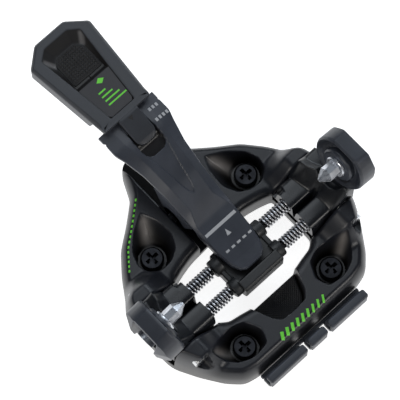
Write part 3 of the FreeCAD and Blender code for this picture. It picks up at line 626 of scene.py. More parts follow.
def slab(xLow, xHigh, yLow, yHigh, zLow, zHigh, edge):
    # block with rounded corners and softly rolled top and bottom edges
    xMid, yMid = (xLow + xHigh) / 2, (yLow + yHigh) / 2
    xHalf, yHalf = (xHigh - xLow) / 2, (yHigh - yLow) / 2
    turn = np.arange(96) * 2 * math.pi / 96
    c, s = np.cos(turn), np.sin(turn)
    corner = min(xHalf, yHalf) * 0.55
    rings = []
    for z, drawn in rolledLevels(zLow, zHigh, edge):
        px = np.clip(c * 1e3, -(xHalf - corner), xHalf - corner) + (corner - drawn) * c
        py = np.clip(s * 1e3, -(yHalf - corner), yHalf - corner) + (corner - drawn) * s
        rings.append(np.stack([xMid + px, yMid + py, np.full(96, z)], 1))
    return shellOf(np.array(rings))


def makeHolder():
    h = holder
    # one strip under the base's edge, with open slits between the three tabs' feet
    half, inside = h["half"], h["stripIn"]
    shells = [slab(-half, half, inside - h["stripWide"], inside, 0.0, h["stripTop"], 0.4)]
    for low, high in h["tabs"]:
        shells.append(slab(low, high, h["outer"] + 0.5, inside - 1.0, 0.0, h["stripTop"], 0.4))
        shells.append(slab(low, high, h["outer"], h["inner"], h["under"] - 0.4, h["top"], 0.7))
        shells.append(slab(low + 0.3, high - 0.3, h["outer"] + 0.1, h["outer"] + h["wall"],
                           1.2, h["under"] + 0.6, 0.3))
    return makeMesh("crampon_tabs", shells, 40.0)


place(makeHolder(), "root_base", "holder_metal", finishes["holder"], "crampon_holder")
print("pad and holder made")


# arms with their caps and pins

arm = {
    "axis": (-math.cos(math.radians(12.0)), 0.0, math.sin(math.radians(12.0))), "pinBase": (38.5, 0.0, 36.0),
    "springZ": 13.2, "tubeRadius": 3.9, "tubeStart": 22.3, "boreRadius": 2.75, "springY": (6.5, -3.0),
    "rear": -6.9, "front": 12.4, "outer": 41.2, "under": 9.35, "tubeTop": 17.1, "crest": 26.0,
    # where the slope starts and where it crests, by distance along the ski
    "slopeStart": ([-6.9, -3.0, 2.4, 6.5, 12.4], [31.6, 31.2, 31.2, 30.2, 29.4]),
    "slopeEnd": ([-6.9, -4.9, 0.0, 5.0, 8.7, 12.4], [37.9, 37.7, 37.0, 35.7, 33.9, 33.3]),
    # middle and half width of each ridge, and the station where it starts
    "ridges": [(6.6, 4.1, 0.0), (-2.5, 4.35, 0.0), (7.5, 4.85, 24.6)],
    "grooveY": 2.15, "grooveHalf": 0.7, "grooveFloor": 10.0, "grooveEnd": (30.6, 32.2),
    "hollow": (37.0, 0.5, 26.6), "hollowRadius": 5.3, "boreDeep": 9.0, "step": 0.13,
    # height, middle, half sizes and squareness of the neck's sections, up into the cap
    "neck": [(19.0, 39.0, 0.0, 2.0, 6.0, 4), (24.0, 39.6, 0.0, 1.7, 6.0, 4),
             (30.0, 40.2, 0.0, 1.6, 5.8, 3), (34.0, 40.7, 0.0, 1.5, 5.6, 3)],
}


def armHeight(x, y):
    # two round ridges that rise in one smooth slope, less the groove between them and the round hollow
    a = arm
    z = np.full(x.shape, a["under"] + 0.2)
    for middle, half, first in a["ridges"]:
        across = np.clip(np.abs(y - middle) / half, 0, 1)
        ridge = a["springZ"] + a["tubeRadius"] * (1 - across ** 3.6) ** (1 / 3.6)
        z = np.maximum(z, np.where((across < 1) & (x > first), ridge, 0))
    start, end = np.interp(y, *a["slopeStart"]), np.interp(y, *a["slopeEnd"])
    share = (x - start) / (end - start)
    rise = np.clip(share, 0, 1)
    slope = a["tubeTop"] + (a["crest"] - a["tubeTop"]) * (0.62 * rise + 0.38 * rise ** 2)
    valley = 0.9 * np.exp(-((y - 1.9) / 1.5) ** 2) * rise * (1 - rise) * 5
    slope = slope - 0.7 * np.clip(x - end, 0, 3.0) - valley
    z = np.where(share > 0, np.maximum(z, slope), z)
    # the groove's floor climbs out of it behind the ridges
    low, high = a["grooveEnd"]
    floor = a["grooveFloor"] + 13.0 * ease(low, high + 1.6, x)
    inGroove = ease(a["grooveHalf"] + 0.2, a["grooveHalf"] - 0.25, np.abs(y - a["grooveY"]))
    inGroove = inGroove * (x < high + 1.0)
    z = z + (np.minimum(z, floor) - z) * inGroove
    hx, hy, hz = a["hollow"]
    away = (x - hx) ** 2 + (y - hy) ** 2
    bowl = hz - np.sqrt(np.clip(a["hollowRadius"] ** 2 - away, 0, None))
    z = np.where(away < a["hollowRadius"] ** 2, np.minimum(z, bowl), z)
    edge = np.minimum(y - a["rear"], a["front"] - y)
    return z - 1.3 * (1 - roundRise(edge, 1.3)) * (z > 14.5)


def soften(field, reach):
    # averages a height table over its neighbours, first one way and then the other
    kernel = np.exp(-0.5 * (np.arange(-3 * reach, 3 * reach + 1) / reach) ** 2)
    kernel = kernel / kernel.sum()
    for turn in range(2):
        wide = np.pad(field, ((0, 0), (3 * reach, 3 * reach)), mode="edge")
        field = np.stack([np.convolve(row, kernel, "valid") for row in wide]).T
    return field


def makeArm(side):
    a = arm
    x = np.arange(a["tubeStart"], a["outer"] + 0.01, a["step"])
    y = np.arange(a["rear"], a["front"] + 0.01, a["step"])
    gx, gy = np.meshgrid(x, y, indexing="ij")
    height = np.maximum(soften(armHeight(gx, gy), 2), a["under"] + 0.05)
    # each station is a ring: across the top, then back below; the first and last stand the end walls up
    top = np.stack([gx, gy, height], -1)
    foot = np.stack([gx[:, ::-1], gy[:, ::-1], np.full(gx.shape, a["under"])], -1)
    rings = np.concatenate([top, foot], 1)
    ends = []
    for row in (0, -1):
        flat = rings[row].copy()
        flat[:, 2] = a["under"]
        ends.append(flat[None])
    body = shellOf(np.concatenate([ends[0], rings, ends[1]]))
    obj = makeMesh("%s_arm_body" % side, [body], 50.0)
    bore = [(1e-3, 0), (a["boreRadius"], 0), (a["boreRadius"], a["boreDeep"]), (1e-3, a["boreDeep"])]
    cutters = [turned(bore, (a["tubeStart"] - 1.0, along, a["springZ"]), (1, 0, 0), (0, 0, 1), 40)
               for along in a["springY"]]
    carve(obj, cutters, 50.0)
    joinInto(obj, makeMesh("neck", [stackOf(a["neck"])], 50.0))
    if side == "left":
        flipMesh(obj)
    return obj


def flipMesh(obj):
    # mirror image across the middle plane, faces turned back outwards
    mesh = obj.data
    co = np.zeros(len(mesh.vertices) * 3, np.float32)
    mesh.vertices.foreach_get("co", co)
    co[0::3] *= -1.0
    mesh.vertices.foreach_set("co", co)
    mesh.flip_normals()
    mesh.update()


cap = {"radius": 10.65, "topFlat": 9.5, "sideFlat": 10.62, "sideTurn": 53.0, "deep": 10.55, "chamfer": 1.9,
       # turn about the pin, where the lean starts and how deep the face still is at the rim
       "leans": [(0.0, 0.5, 6.0), (42.0, 4.4, 6.6), (-42.0, 4.4, 6.6), (84.0, 4.6, 6.9), (-84.0, 4.6, 6.9)],
       "headRadius": 6.3, "nutRadius": 3.5, "nutFloor": -5.5, "notchStart": 7.2, "notchHalf": 5.2}


def capReach(angle, radius):
    # share of the radius kept at each turn: a flat on top and one towards each end of the ski
    c = cap
    off = (angle + math.pi) % (2 * math.pi) - math.pi
    reach = np.full(angle.shape, c["radius"])
    flats = ((0.0, c["topFlat"]), (c["sideTurn"], c["sideFlat"]), (-c["sideTurn"], c["sideFlat"]))
    for turn, distance in flats:
        slope = np.cos(off - math.radians(turn))
        reach = np.where(slope > 0.2, np.minimum(reach, distance / np.maximum(slope, 0.2)), reach)
    share = reach / c["radius"]
    keep = ease(6.6, 9.4, radius)
    return 1.0 + (share[None, :] - 1.0) * keep


def makeCap(side):
    c = cap
    r, deep, h = c["radius"], c["deep"], c["headRadius"]
    # small bevelled head of the arm, dished ring round it, rim, side, chamfer and outer face
    profile = [(1e-3, -0.02), (h - 0.9, -0.02), (h - 0.55, -0.10), (h - 0.08, -0.62), (h, -0.85), (h, -2.3),
               (h + 0.15, -2.5), (h + 1.0, -2.45), (h + 2.0, -2.05), (h + 2.9, -1.40), (r - 1.15, -1.08),
               (r - 0.85, -1.0), (r - 0.6, -1.04), (r - 0.15, -1.55), (r, -1.95),
               (r, -deep + c["chamfer"] + 0.3),
               (r - 0.1, -deep + c["chamfer"] - 0.05), (r - c["chamfer"] + 0.25, -deep + 0.12),
               (r - c["chamfer"] - 0.2, -deep), (c["nutRadius"] + 0.4, -deep), (c["nutRadius"], -deep + 0.3),
               (c["nutRadius"], c["nutFloor"]), (1e-3, c["nutFloor"])]
    shell = turned(profile, arm["pinBase"], arm["axis"], (0.2, 0, 1.0), 160, capReach)
    obj = makeMesh("%s_cap_bumper" % side, [shell], 34.0)
    out = np.array(arm["axis"]) * -1.0
    up = np.array([math.sin(math.radians(12.0)), 0.0, math.cos(math.radians(12.0))])

    def at(d, v, w):
        return np.array(arm["pinBase"]) + out * d + up * v + np.array([0.0, w, 0.0])
    # the outer face leans in above and towards both ends; an upright notch in it shows the lock nut
    wedges = []
    for turn, first, depth in c["leans"]:
        cosine, sine = math.cos(math.radians(turn)), math.sin(math.radians(turn))
        lean = [(deep + 0.03, first), (depth, 11.3), (15.0, 11.3), (15.0, first)]
        wedges.append(shellOf(np.array([[at(d, v * cosine - w * sine, v * sine + w * cosine) for d, v in lean]
                                        for w in (-12.0, 12.0)])))
    half = c["notchHalf"]
    foot = [(-half, -14.0), (half, -14.0), (half + 0.4, 14.0), (-half - 0.4, 14.0)]
    notch = shellOf(np.array([[at(d, v, w) for w, v in foot] for d in (c["notchStart"], 14.0)]))
    for cutter in wedges + [notch]:
        carve(obj, [cutter], 34.0)
    bevel = obj.modifiers.new("bevel", "BEVEL")
    bevel.width, bevel.segments, bevel.limit_method = 0.6 * metre, 4, "ANGLE"
    bevel.angle_limit = math.radians(12.0)
    applyAll(obj, 40.0)
    if side == "left":
        flipMesh(obj)
    return obj


pin = {"flange": 3.9, "flangeThick": 0.8, "radius": 2.75, "barrelEnd": 5.0, "tip": 8.18, "tipRadius": 0.95,
       "sides": 8}


def makePin(side):
    # round flange; eight flat facets run along barrel and cone
    p = pin
    f, r, tip, thick = p["flange"], p["radius"], p["tip"], p["flangeThick"]
    disc = [(1e-3, -0.2), (f - 0.2, -0.2), (f, 0.05), (f, thick - 0.3), (f - 0.28, thick), (r + 0.5, thick),
            (r + 0.3, thick - 0.15), (1e-3, thick - 0.15)]
    shaft = [(1e-3, 0.3), (r, 0.3), (r, p["barrelEnd"]), (r - 0.12, p["barrelEnd"] + 0.14),
             (p["tipRadius"], tip - 0.4), (p["tipRadius"] - 0.3, tip), (1e-3, tip)]
    shells = [turned(disc, arm["pinBase"], arm["axis"], (0.2, 0, 1.0), 64),
              turned(shaft, arm["pinBase"], arm["axis"], (0.2, 0.4, 1.0), p["sides"])]
    obj = makeMesh("%s_toe_pin" % side, shells, 20.0)
    if side == "left":
        flipMesh(obj)
    return obj


def joinInto(obj, other):
    # adds the other piece's mesh to the first
    work = bmesh.new()
    work.from_mesh(obj.data)
    work.from_mesh(other.data)
    work.to_mesh(obj.data)
    work.free()
    bpy.data.objects.remove(other)
    return obj


for side in ("right", "left"):
    place(makeArm(side), side + "_arm", "arm_metal", finishes["arm"], side + "_arm")
    place(makeCap(side), side + "_arm", "cap_plastic", finishes["cap"], side + "_cap")
    place(makePin(side), side + "_arm", "pin_steel", finishes["pin"], side + "_pin")
print("arms, caps and pins made")


# centre block

block = {"half": 8.6, "rear": -7.4, "front": 10.9, "low": 8.8, "top": 14.0, "plateau": 17.2, "edge": 0.5,
         "middle": (1.8, 12.0), "collarStart": 8.0,
         "collar": [(1e-3, 0), (3.2, 0), (3.2, 2.9), (3.0, 3.2), (2.45, 3.4), (1e-3, 3.4)],
         # cheek that joins the two collars: its reach across, along and up
         "cheek": ((8.2, 10.2), (-5.6, 9.0), (9.2, 14.4))}


def makeBlock():
    # side outline carried across the block, drawn in near its two ends
    b = block
    rear, front, low, top, plateau = b["rear"], b["front"], b["low"], b["top"], b["plateau"]
    side = [(rear + 1.2, low), (front - 1.2, low), (front, low + 1.2), (front, top - 1.5), (front - 1.2, top),
            (-2.6, top), (-3.3, plateau), (rear + 0.7, plateau), (rear, plateau - 1.0), (rear, low + 1.2)]
    ring = softOutline(side, 0.22, 0.25)["points"]
    middle = np.array(b["middle"])
    away = ring - middle
    size = np.linalg.norm(away, axis=1, keepdims=True)
    rings = []
    for x, drawn in rolledLevels(-b["half"], b["half"], b["edge"]):
        inner = middle + away * (1 - drawn / size)
        rings.append(np.stack([np.full(len(ring), x), inner[:, 0], inner[:, 1]], 1))
    shells = [shellOf(np.array(rings))]
    (near, far), along, upright = b["cheek"]
    for sign in (1, -1):
        for y in arm["springY"]:
            shells.append(turned(b["collar"], (sign * b["collarStart"], y, arm["springZ"]), (sign, 0, 0),
                                 (0, 0, 1), 48))
        shells.append(slab(*sorted((sign * near, sign * far)), *along, *upright, 0.5))
    return makeMesh("slide_block", shells, 35.0)


place(makeBlock(), "centre_block", "block_plastic", finishes["block"], "centre_block")


# lever

lever = {
    # y, half width of the flat top, half width at the edge, heights of top, edge and underside
    "stations": [
        (-1.8, 2.6, 3.4, 18.3, 17.9, 15.7), (-0.6, 4.6, 5.2, 18.6, 18.2, 15.6),
        (2.4, 6.1, 6.6, 19.1, 18.7, 15.4), (8.0, 7.0, 7.4, 20.5, 20.0, 15.4),
        (18.0, 7.2, 7.8, 22.8, 22.0, 16.4), (24.0, 4.8, 7.9, 25.8, 24.2, 17.6),
        (33.0, 5.4, 8.3, 30.0, 28.2, 20.6), (42.0, 6.0, 9.2, 33.2, 31.5, 25.6),
        (49.5, 6.8, 11.0, 35.5, 34.3, 29.6), (52.5, 7.2, 12.0, 35.9, 35.0, 30.8),
        (60.9, 7.4, 12.0, 35.9, 35.0, 31.4)],
    "rows": 300, "topPoints": 96,
    "tilt": math.radians(14.0), "grooveStart": 44.35, "grooveHalf": 4.5, "grooveFloor": 32.4,
    "pocketDeep": 1.1, "panelTip": 27.4, "panelDeep": 0.42,
    "panel": ([27.4, 28.6, 31.0, 36.0, 44.0, 47.0], [0.0, 1.0, 1.7, 2.5, 4.2, 4.9]),
    # slot for the handle's cross pin: far end, travel, half height and reach into the flank
    "slotEnd": (0.0, 57.6, 33.9), "slotTravel": 4.2, "slotRadius": 1.15, "slotReach": (9.4, 14.0),
    # hub round the pivot, plate under the handle, then side outline and half width of web and link lug
    "hub": [(1e-3, 0), (4.6, 0), (5.0, 0.4), (5.0, 14.2), (4.6, 14.6), (1e-3, 14.6)],
    "hubStart": (-7.3, 30, 9),
    "plate": (-8.0, 8.0, 55, 88, 32.4, 35.8, 0.5),
    "webs": [([(25.4, 7.4), (34.6, 7.4), (41.5, 26), (20.5, 17.6)], 7.3),
             ([(0.8, 10.2), (6.8, 10.2), (7.4, 17), (0.0, 17)], 2.6)],
}
slopeUp = math.tan(lever["tilt"])


def leverTop(x, y, flat, edge, top, rim):
    # flat strip with a bevel each side, the tongue's groove and a shallow pointed panel pressed in
    v = lever
    ax = np.abs(x)
    share = np.clip((ax - flat) / np.maximum(edge - flat, 0.05), 0, 1)
    z = top - (top - rim) * share
    panelHalf = np.interp(y, *v["panel"])
    pressed = ease(-0.15, 0.3, panelHalf - ax) * (y > v["panelTip"] - 0.4) * (y < 52)
    z = z - v["panelDeep"] * pressed
    # the groove's near end is a 3 mm quarter round at each corner
    nearEnd = v["grooveStart"] + 3.0 - np.sqrt(np.clip(9.0 - np.clip(ax - 1.5, 0, 3.0) ** 2, 0, None))
    inGroove = ease(-0.2, 0.25, y - nearEnd) * ease(-0.2, 0.2, v["grooveHalf"] - ax)
    floor = v["grooveFloor"] + slopeUp * (y - 44.2) - v["pocketDeep"] * ease(50.2, 48.6, y)
    return z + (np.minimum(floor, z) - z) * inGroove


def makeLever():
    v = lever
    s = np.array(v["stations"])
    y = np.unique(np.concatenate([np.linspace(-1.8, 2.4, 40), np.linspace(2.4, 60.9, v["rows"] - 40)]))
    cols = []
    for k in range(1, 6):
        line = np.interp(y, s[:, 0], s[:, k])
        padded = np.concatenate([np.full(12, line[0]), line, np.full(12, line[-1])])
        kernel = np.exp(-0.5 * (np.arange(-6, 7) / 3.0) ** 2)
        soft = np.convolve(padded, kernel / kernel.sum(), "same")[12:-12]
        cols.append(np.where(y > 3.0, soft, line))
    flat, edge, top, rim, under = cols
    n = v["topPoints"]
    across = np.linspace(-1, 1, n)
    x = edge[:, None] * across[None, :]
    yy = np.broadcast_to(y[:, None], x.shape)
    z = leverTop(x, yy, flat[:, None], edge[:, None], top[:, None], rim[:, None])
    # down the right side, along the underside and up the left side
    out = edge + 0.12
    xs = np.stack([out, out, edge - 0.1, flat + 0.3, flat * 0.6, flat * 0.0, -flat * 0.6, -flat - 0.3,
                   -edge + 0.1, -out, -out], 1)
    zs = np.stack([rim - 0.25, rim - 1.0, rim - 1.7, under + 0.25, under, under, under, under + 0.25,
                   rim - 1.7, rim - 1.0, rim - 0.25], 1)
    below = np.stack([xs, np.broadcast_to(y[:, None], xs.shape), zs], -1)
    rings = np.concatenate([np.stack([x, yy, z], -1), below], 1)
    obj = makeMesh("lever_top", [shellOf(rings)], 32.0)
    # slot in each flank for the handle's cross pin
    along = np.array([0.0, math.cos(v["tilt"]), math.sin(v["tilt"])])
    upward = np.array([0.0, -along[2], along[1]])
    far, r = np.array(v["slotEnd"]), v["slotRadius"]
    near = far - v["slotTravel"] * along
    turn = np.linspace(0, math.pi, 12)
    ring = [far + r * (math.sin(a) * along + math.cos(a) * upward) for a in turn]
    ring = np.array(ring + [near + r * (-math.sin(a) * along - math.cos(a) * upward) for a in turn])
    cutters = [shellOf(np.array([ring + np.array([sign * d, 0, 0]) for d in v["slotReach"]]))
               for sign in (1, -1)]
    carve(obj, cutters, 32.0)
    # painted shade: the groove round the tongue is marked dark
    co = np.zeros(len(obj.data.vertices) * 3, np.float32)
    obj.data.vertices.foreach_get("co", co)
    gx, gy, gz = co.reshape(-1, 3).T / metre
    rise = np.interp(gy, s[:, 0], s[:, 3]) - 0.75
    mark(obj, "sunk", (np.abs(gx) < 4.7) & (gy > v["grooveStart"]) & (gz < rise) & (gz > 29.0))
    extra = [turned(v["hub"], v["hubStart"], (1, 0, 0), (0, 0, 1), 64), slab(*v["plate"])]
    for outline, half in v["webs"]:
        ring = softOutline(outline, 0.4, 0.5)["points"]
        extra.append(shellOf(np.array([np.stack([np.full(len(ring), x), ring[:, 0], ring[:, 1]], 1)
                                       for x in np.linspace(-half, half, 3)])))
    return joinInto(obj, makeMesh("lever_below", extra, 35.0))


place(makeLever(), "lever", "lever_plastic", finishes["lever"], "lever_body")
print("block and lever made")


# handle

handle = {
    "plan": [(10.1, 59.6), (11.6, 75.0), (13.3, 92.8), (6.4, 98.6)],
    "recess": [(5.2, 62.0), (6.6, 75.0), (8.6, 92.2), (5.0, 95.0)],
    "floor": [(4.8, 62.4), (6.2, 75.0), (6.2, 88.6), (3.7, 90.9)],
    "top": 39.4, "edge": 38.4, "under": 37.2, "skirt": 32.2, "skirtStart": 66.4, "wall": 2.0,
    "badgeFloor": 38.6, "padFloor": 37.45, "padStart": 77.4, "wedgeHalf": 1.0, "wedgeHighlight": 0.45,
    "outsideRings": 18,           # rings before the first one that is coloured as the recess
}

# tongue that lies in the lever's groove; "top" is its height along the ski
tongue = {"start": 48.8, "end": 61.8, "stations": 44, "points": 25, "half": 4.1, "under": 32.7, "crown": 0.25,
          "noseEnd": 51.8, "noseHalf": (1.6, 2.5), "noseLength": 3.0,
          "top": ([48.8, 50.2, 52.5, 58.8, 61.8], [35.3, 36.1, 37.0, 39.3, 39.38])}


def handleRing(half, blur):
    corners = [(0.0, half[0][1])] + half + [(0.0, half[-1][1])]
    full = corners + [(-x, y) for x, y in reversed(corners) if x > 0]
    ring = softOutline(full, blur, 0.1)
    # the same share of every side on each ring, so that corners line up
    counts = [24, 72, 84, 36, 26, 26, 36, 84, 72, 24]
    shares = np.concatenate([np.arange(n) / n + i for i, n in enumerate(counts)])
    knots = ring["knots"]
    stretch = shares.astype(int)
    return alongOutline(ring, knots[stretch] + (shares - stretch) * np.diff(knots)[stretch])


def inset(ring, amount):
    # moves the handle's outline inwards along its own normals
    step = np.roll(ring, -1, 0) - np.roll(ring, 1, 0)
    normal = np.stack([step[:, 1], -step[:, 0]], 1)
    normal = normal / np.maximum(np.linalg.norm(normal, axis=1, keepdims=True), 1e-9)
    centre = np.array([0.0, 79.0])
    sign = np.sign(np.einsum("ij,ij->i", normal, ring - centre).mean())
    return ring - normal * amount * sign


def recessFloor(y):
    # the badge's step first, then the pad's lower one
    h = handle
    lower = ease(h["padStart"] - 1.2, h["padStart"] + 0.6, y)
    return h["badgeFloor"] - (h["badgeFloor"] - h["padFloor"]) * lower


def tongueShell():
    t = tongue
    ys = np.linspace(t["start"], t["end"], t["stations"])
    shape = (t["stations"], t["points"])
    first, more = t["noseHalf"]
    nose = first + more * np.sqrt(np.clip(1 - ((t["noseEnd"] - ys) / t["noseLength"]) ** 2, 0.0, 1))
    half = np.where(ys < t["noseEnd"], nose, t["half"])
    across = np.linspace(-1, 1, t["points"])
    crown = t["crown"] * (1 - np.abs(across) ** 8)
    along = np.broadcast_to(ys[:, None], shape)
    top = np.interp(ys, *t["top"])[:, None] - t["crown"] + crown
    under = np.broadcast_to((t["under"] + slopeUp * (ys - 44.2))[:, None], shape)
    return shellOf(np.concatenate([np.stack([half[:, None] * across, along, top], -1),
                                   np.stack([half[:, None] * across[::-1], along, under], -1)], 1))


def makeHandle():
    h = handle
    outer = handleRing(h["plan"], 0.55)
    rim = handleRing(h["recess"], 0.35)
    floor = handleRing(h["floor"], 0.25)
    y = outer[:, 1]
    # the skirt grows out of the plate behind the lever's shoulders
    low = h["under"] - (h["under"] - h["skirt"]) * ease(h["skirtStart"] - 1.5, h["skirtStart"] + 0.5, y)
    innerWall = inset(outer, h["wall"])
    rings = [lift(inset(outer, h["wall"] + 2.5), h["under"] - 0.2), lift(innerWall, h["under"] - 0.2),
             lift(innerWall, np.minimum(low + 0.3, h["under"] - 0.15)),
             lift(inset(outer, h["wall"] - 0.3), low),
             lift(inset(outer, 0.3), low), lift(outer, low + 0.3)]
    for share in (0.35, 0.7):
        rings.append(lift(outer, (low + 0.3) * (1 - share) + (h["edge"] - 0.2) * share))
    # the edge towards the lever is cut square, the others are bevelled
    square = 1.0 - ease(60.4, 63.0, y)
    narrow = (1.0 - 0.88 * square)[:, None]
    rings.append(lift(outer, h["edge"] - 0.2 + 0.9 * square))
    rings.append(lift(inset(outer, 0.06), h["edge"] + 0.82 * square))
    rings.append(lift(inset(outer, 0.9 * narrow), h["top"] - 0.08))
    rings.append(lift(inset(outer, 1.15 * narrow), h["top"]))
    start, end = inset(outer, 1.4), inset(rim, -0.25)
    for share in np.linspace(0, 1, 6):
        rings.append(lift(start * (1 - share) + end * share, h["top"]))
    rings.append(lift(rim, h["top"] - 0.12))
    depth = recessFloor(floor[:, 1])
    for share in (0.2, 0.4, 0.6, 0.8, 0.96):
        mid = rim * (1 - share) + floor * share
        rings.append(lift(mid, (h["top"] - 0.12) * (1 - share) + depth * share))
    spine = np.stack([floor[:, 0] * 0.02, np.clip(floor[:, 1], 68, 84)], 1)
    for share in np.linspace(0.05, 1, 20):
        mid = floor * (1 - share) + spine * share
        rings.append(lift(mid, recessFloor(mid[:, 1])))
    body = shellOf(np.array(rings))
    # painted shade: every ring from the first recess ring inwards is marked dark
    sunk = np.zeros(len(body[0]))
    sunk[h["outsideRings"] * len(outer):] = 1.0
    # painted highlight: two bright wedges run down the recess's far corners, where the recess's painted shade
    # is taken off
    px, py, pz = body[0].T
    (cx, cy), (wx, wy) = h["recess"][2], h["floor"][2]
    ex, ey = wx - cx, wy - cy
    share = np.clip(((np.abs(px) - cx) * ex + (py - cy) * ey) / (ex ** 2 + ey ** 2), 0, 1)
    away = np.hypot(np.abs(px) - cx - ex * share, py - cy - ey * share)
    wedge = sunk * np.exp(-(away / h["wedgeHalf"]) ** 4) * (pz < h["top"] - 0.15)
    obj = makeMesh("handle_shell", [body, tongueShell()], 30.0)
    # painted shade: the tongue's foot is marked dark as well
    foot = np.zeros((tongue["stations"], 2 * tongue["points"]))
    foot[:, tongue["points"]:] = 1.0
    mark(obj, "sheen", np.concatenate([wedge * h["wedgeHighlight"], np.zeros(foot.size + 2)]))
    return mark(obj, "sunk", np.concatenate([sunk - wedge, foot.ravel(), [0.0, 0.0]]))


place(makeHandle(), "handle", "lever_plastic", finishes["handle"], "handle")


handlePad = {"outline": [(5.9, 78.6), (6.2, 80.0), (6.0, 88.2), (3.6, 90.6)], "blur": 0.3,
             "rows": 64, "skip": 2, "pitch": 1.05, "height": 0.42, "floor": 37.4, "top": 37.85,
             "sharpness": 0.7, "diagonal": False, "spine": (0.05, 84.5),
             "border": (0.5, 0.8), "edge": (0.35, 0.35)}

place(studdedPad("handle_pad", handleRing(handlePad["outline"], handlePad["blur"]), handlePad),
      "handle", "grip_rubber", finishes["pad"], "handle_grip_pad")
print("handle made")


# prints and badge

def inlay(name, outlines, heightAt, thick, body, slot, material):
    # thin raised ink: each outline filled by rings towards its middle, laid on the surface below it
    shells = []
    for outline in outlines:
        ring = np.array(outline, float)
        rows = [ring] + [ring * share + ring.mean(0) * (1 - share) for share in (1.0, 0.8, 0.6, 0.4, 0.2)]
        lifts = [-0.15] + [thick] * 5
        rings = []
        for row, up in zip(rows, lifts):
            z = heightAt(row[:, 0], row[:, 1]) + up
            rings.append(np.stack([row[:, 0], row[:, 1], z], 1))
        shells.append(shellOf(np.array(rings)))
    obj = makeMesh(name, shells, 30.0)
    return place(obj, body, slot, material)


def barOutline(x0, y0, x1, y1, width):
    # straight bar between two points, eight points a side
    a, b = np.array([x0, y0], float), np.array([x1, y1], float)
    n = np.array([-(b - a)[1], (b - a)[0]])
    n = n / np.linalg.norm(n) * width / 2
    t = np.linspace(0, 1, 9)[:, None]
    return np.vstack([a + (b - a) * t + n, (b + (a - b) * t) - n])


def leverHeight(x, y):
    s = np.array(lever["stations"])
    args = [np.interp(y, s[:, 0], s[:, k]) for k in (1, 2, 3, 4)]
    return leverTop(x, y, *args)


marks = {
    "bar": [barOutline(-6.7, 14.6, 6.7, 14.6, 1.1)],
    "arrow": [np.array([(-0.9, 10.2), (0.0, 10.15), (0.9, 10.2), (0.45, 11.3), (0.0, 12.5), (-0.45, 11.3)])],
    "ticks": [barOutline(-5.0 + 2.5 * k, 6.4, -3.6 + 2.5 * k, 6.4, 0.75) for k in range(5)],
    "shoulder": [barOutline(6.6 + 1.5 * k, 56.6, 7.5 + 1.5 * k, 56.6, 1.2) for k in range(3)]
                + [barOutline(6.0 + 1.5 * k, 52.4, 6.9 + 1.5 * k, 52.4, 1.2) for k in range(4)],
}
inlay("lever_marks", sum(marks.values(), []), leverHeight, 0.04, "lever", "lever_plastic", finishes["white"])


def diamond(x, y, width, height):
    return np.array([(x - width, y), (x, y - height), (x + width, y), (x, y + height)])


# green slanted bars on the rear rim, dashes down the left front rim
rims = {"bars": [(-10.0 + 2.35 * k, 1.15 - 0.05 * k) for k in range(9)],
        "barEnds": (-26.7, -24.3), "slant": 1.5,
        "dashPath": ([-12.4, -19.4, -26.5, -31.6], [43.0, 37.2, 31.6, 25.4]), "dashes": 15}
barLow, barHigh = rims["barEnds"]
bars = [barOutline(x, barLow, x + rims["slant"], barHigh, wide) for x, wide in rims["bars"]]
stops = np.linspace(0, 3, rims["dashes"] * 2)
pathX, pathY = (np.interp(stops, range(4), line) for line in rims["dashPath"])
dashes = [barOutline(pathX[k], pathY[k], pathX[k + 1], pathY[k + 1], 0.6) for k in range(0, len(stops), 2)]
outerRing, innerRing = (outline["points"][::3] for outline in baseOutlines())


def rimHeight(x, y):
    return baseHeight(x, y, False, False, outerRing, innerRing)


inlay("rim_marks", bars + dashes, rimHeight, 0.09, "root_base", "base_plastic", finishes["green"])
arrowHead = [np.array([(-1.0, 58.4), (1.0, 58.4), (0.5, 57.6), (0.0, 56.8), (-0.5, 57.6)])]
inlay("tongue_mark", arrowHead, lambda x, y: np.interp(y, *tongue["top"]), 0.03, "handle", "lever_plastic",
      finishes["pad"])
badge = {"top": 39.05, "left": -2.4, "right": 5.4, "low": 66.0}
green = []
for k in range(4):
    height = badge["low"] + 1.7 * k
    green.append(barOutline(badge["left"], height, badge["right"] - 1.6 * k, height, 0.55))
green.append(diamond(1.2, 74.4, 1.6, 1.1))
inlay("badge_mark", green, lambda x, y: np.full(np.shape(x), badge["top"]), 0.04, "handle", "badge_plastic",
      finishes["green"])
print("prints made")


# CAD nodes kept, with their finishes

keep = {
    "mounting_screws": "screw", "left_axle": "axle", "right_axle": "axle", "lever_pivot_pin": "screw",
    "link_pin": "axle", "handle_cross_pin": "axle", "handle_badge": "badge",
}
for side in ("left", "right"):
    keep[side + "_pin_nut"] = "pin"
    for row in ("front", "rear"):
        keep["%s_%s_spring" % (side, row)] = "spring"
        keep["%s_%s_rod" % (side, row)] = "rod"
for name, finish in keep.items():
    mesh = nodes[name].data
    mesh.materials.clear()
    mesh.materials.append(finishes[finish])


# floor, lights and camera

studio = {
    "target": (3.74, 28.58, 7.60), "toCamera": (-0.2020, -0.2159, 0.9553), "distance": 950.0, "lens": 252.2,
    "right": (0.7302, -0.6833, 0.0),
    "floorSize": 3.0, "floorZ": -0.0092,
    "lights": [
        # name, direction from the object, distance, size, strength in watts, colour
        ("softTop", (0.25, 0.55, 1.0), 1.3, 1.0, 6.0, (0.88, 0.94, 1.0)),
        ("leftWarm", (-1.0, -0.2, 0.62), 1.0, 0.4, 2.8, (1.0, 0.96, 0.90)),
        ("rearLow", (0.25, -1.0, 0.55), 1.0, 0.35, 2.6, (1.0, 0.97, 0.93)),
        ("rightCool", (1.0, 0.35, 0.5), 1.1, 0.4, 2.4, (0.84, 0.92, 1.0)),
    ],
    "worldStrength": 0.10,
}


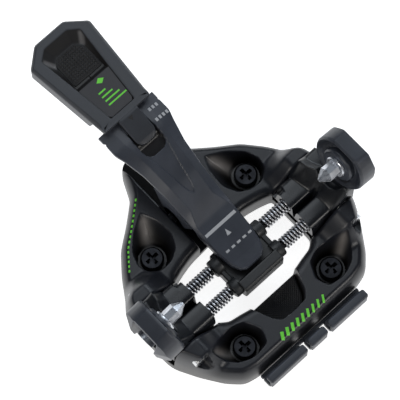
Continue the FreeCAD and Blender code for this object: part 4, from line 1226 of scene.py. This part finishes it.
def makeStudio():
    s = studio
    scene = bpy.context.scene
    size = s["floorSize"]
    rows = np.linspace(-size, size, 9)
    gx, gy = np.meshgrid(rows, rows)
    points = np.stack([gx.ravel(), gy.ravel(), np.full(81, s["floorZ"])], 1)
    mesh = bpy.data.meshes.new("floor")
    corners = [i * 9 + j for i in range(8) for j in range(8)]
    faces = [(k, k + 1, k + 10, k + 9) for k in corners]
    mesh.from_pydata(points.tolist(), [], faces)
    floor = bpy.data.objects.new("floor", mesh)
    scene.collection.objects.link(floor)
    f = Finish("paleFloor", (0.86, 0.86, 0.86), 0.8, Emission_Strength=0.85)
    f.shader.inputs["Emission Color"].default_value = (1.0, 1.0, 1.0, 1.0)
    cloud = f.noise(60.0, 2.0)
    f.feed("Base Color", f.blend(cloud, (0.85, 0.85, 0.85), (0.88, 0.88, 0.88)))
    mesh.materials.append(f.material)

    world = bpy.data.worlds.new("softWorld")
    world.use_nodes = True
    world.node_tree.nodes["Background"].inputs[0].default_value = (0.80, 0.88, 1.0, 1.0)
    world.node_tree.nodes["Background"].inputs[1].default_value = s["worldStrength"]
    scene.world = world
    middle = Vector((0.0, 0.025, 0.015))
    for name, direction, distance, width, power, colour in s["lights"]:
        lamp = bpy.data.lights.new(name, "AREA")
        lamp.shape, lamp.size, lamp.energy, lamp.color = "SQUARE", width, power, colour
        obj = bpy.data.objects.new(name, lamp)
        toward = Vector(direction).normalized()
        obj.location = middle + toward * distance
        obj.rotation_euler = toward.to_track_quat("Z", "Y").to_euler()
        scene.collection.objects.link(obj)

    back = Vector(s["toCamera"]).normalized()
    right = Vector(s["right"]).normalized()
    up = back.cross(right).normalized()
    camera = bpy.data.cameras.new("camera")
    camera.lens, camera.sensor_width = s["lens"], 36.0
    camera.clip_start, camera.clip_end = 0.05, 20.0
    seat = bpy.data.objects.new("camera", camera)
    spot = (Vector(s["target"]) + back * s["distance"]) * metre
    seat.matrix_world = Matrix((
        (right.x, up.x, back.x, spot.x), (right.y, up.y, back.y, spot.y), (right.z, up.z, back.z, spot.z),
        (0.0, 0.0, 0.0, 1.0)))
    scene.collection.objects.link(seat)
    bpy.context.scene.camera = seat
    scene.view_settings.view_transform = "Standard"


makeStudio()
print("studio made")
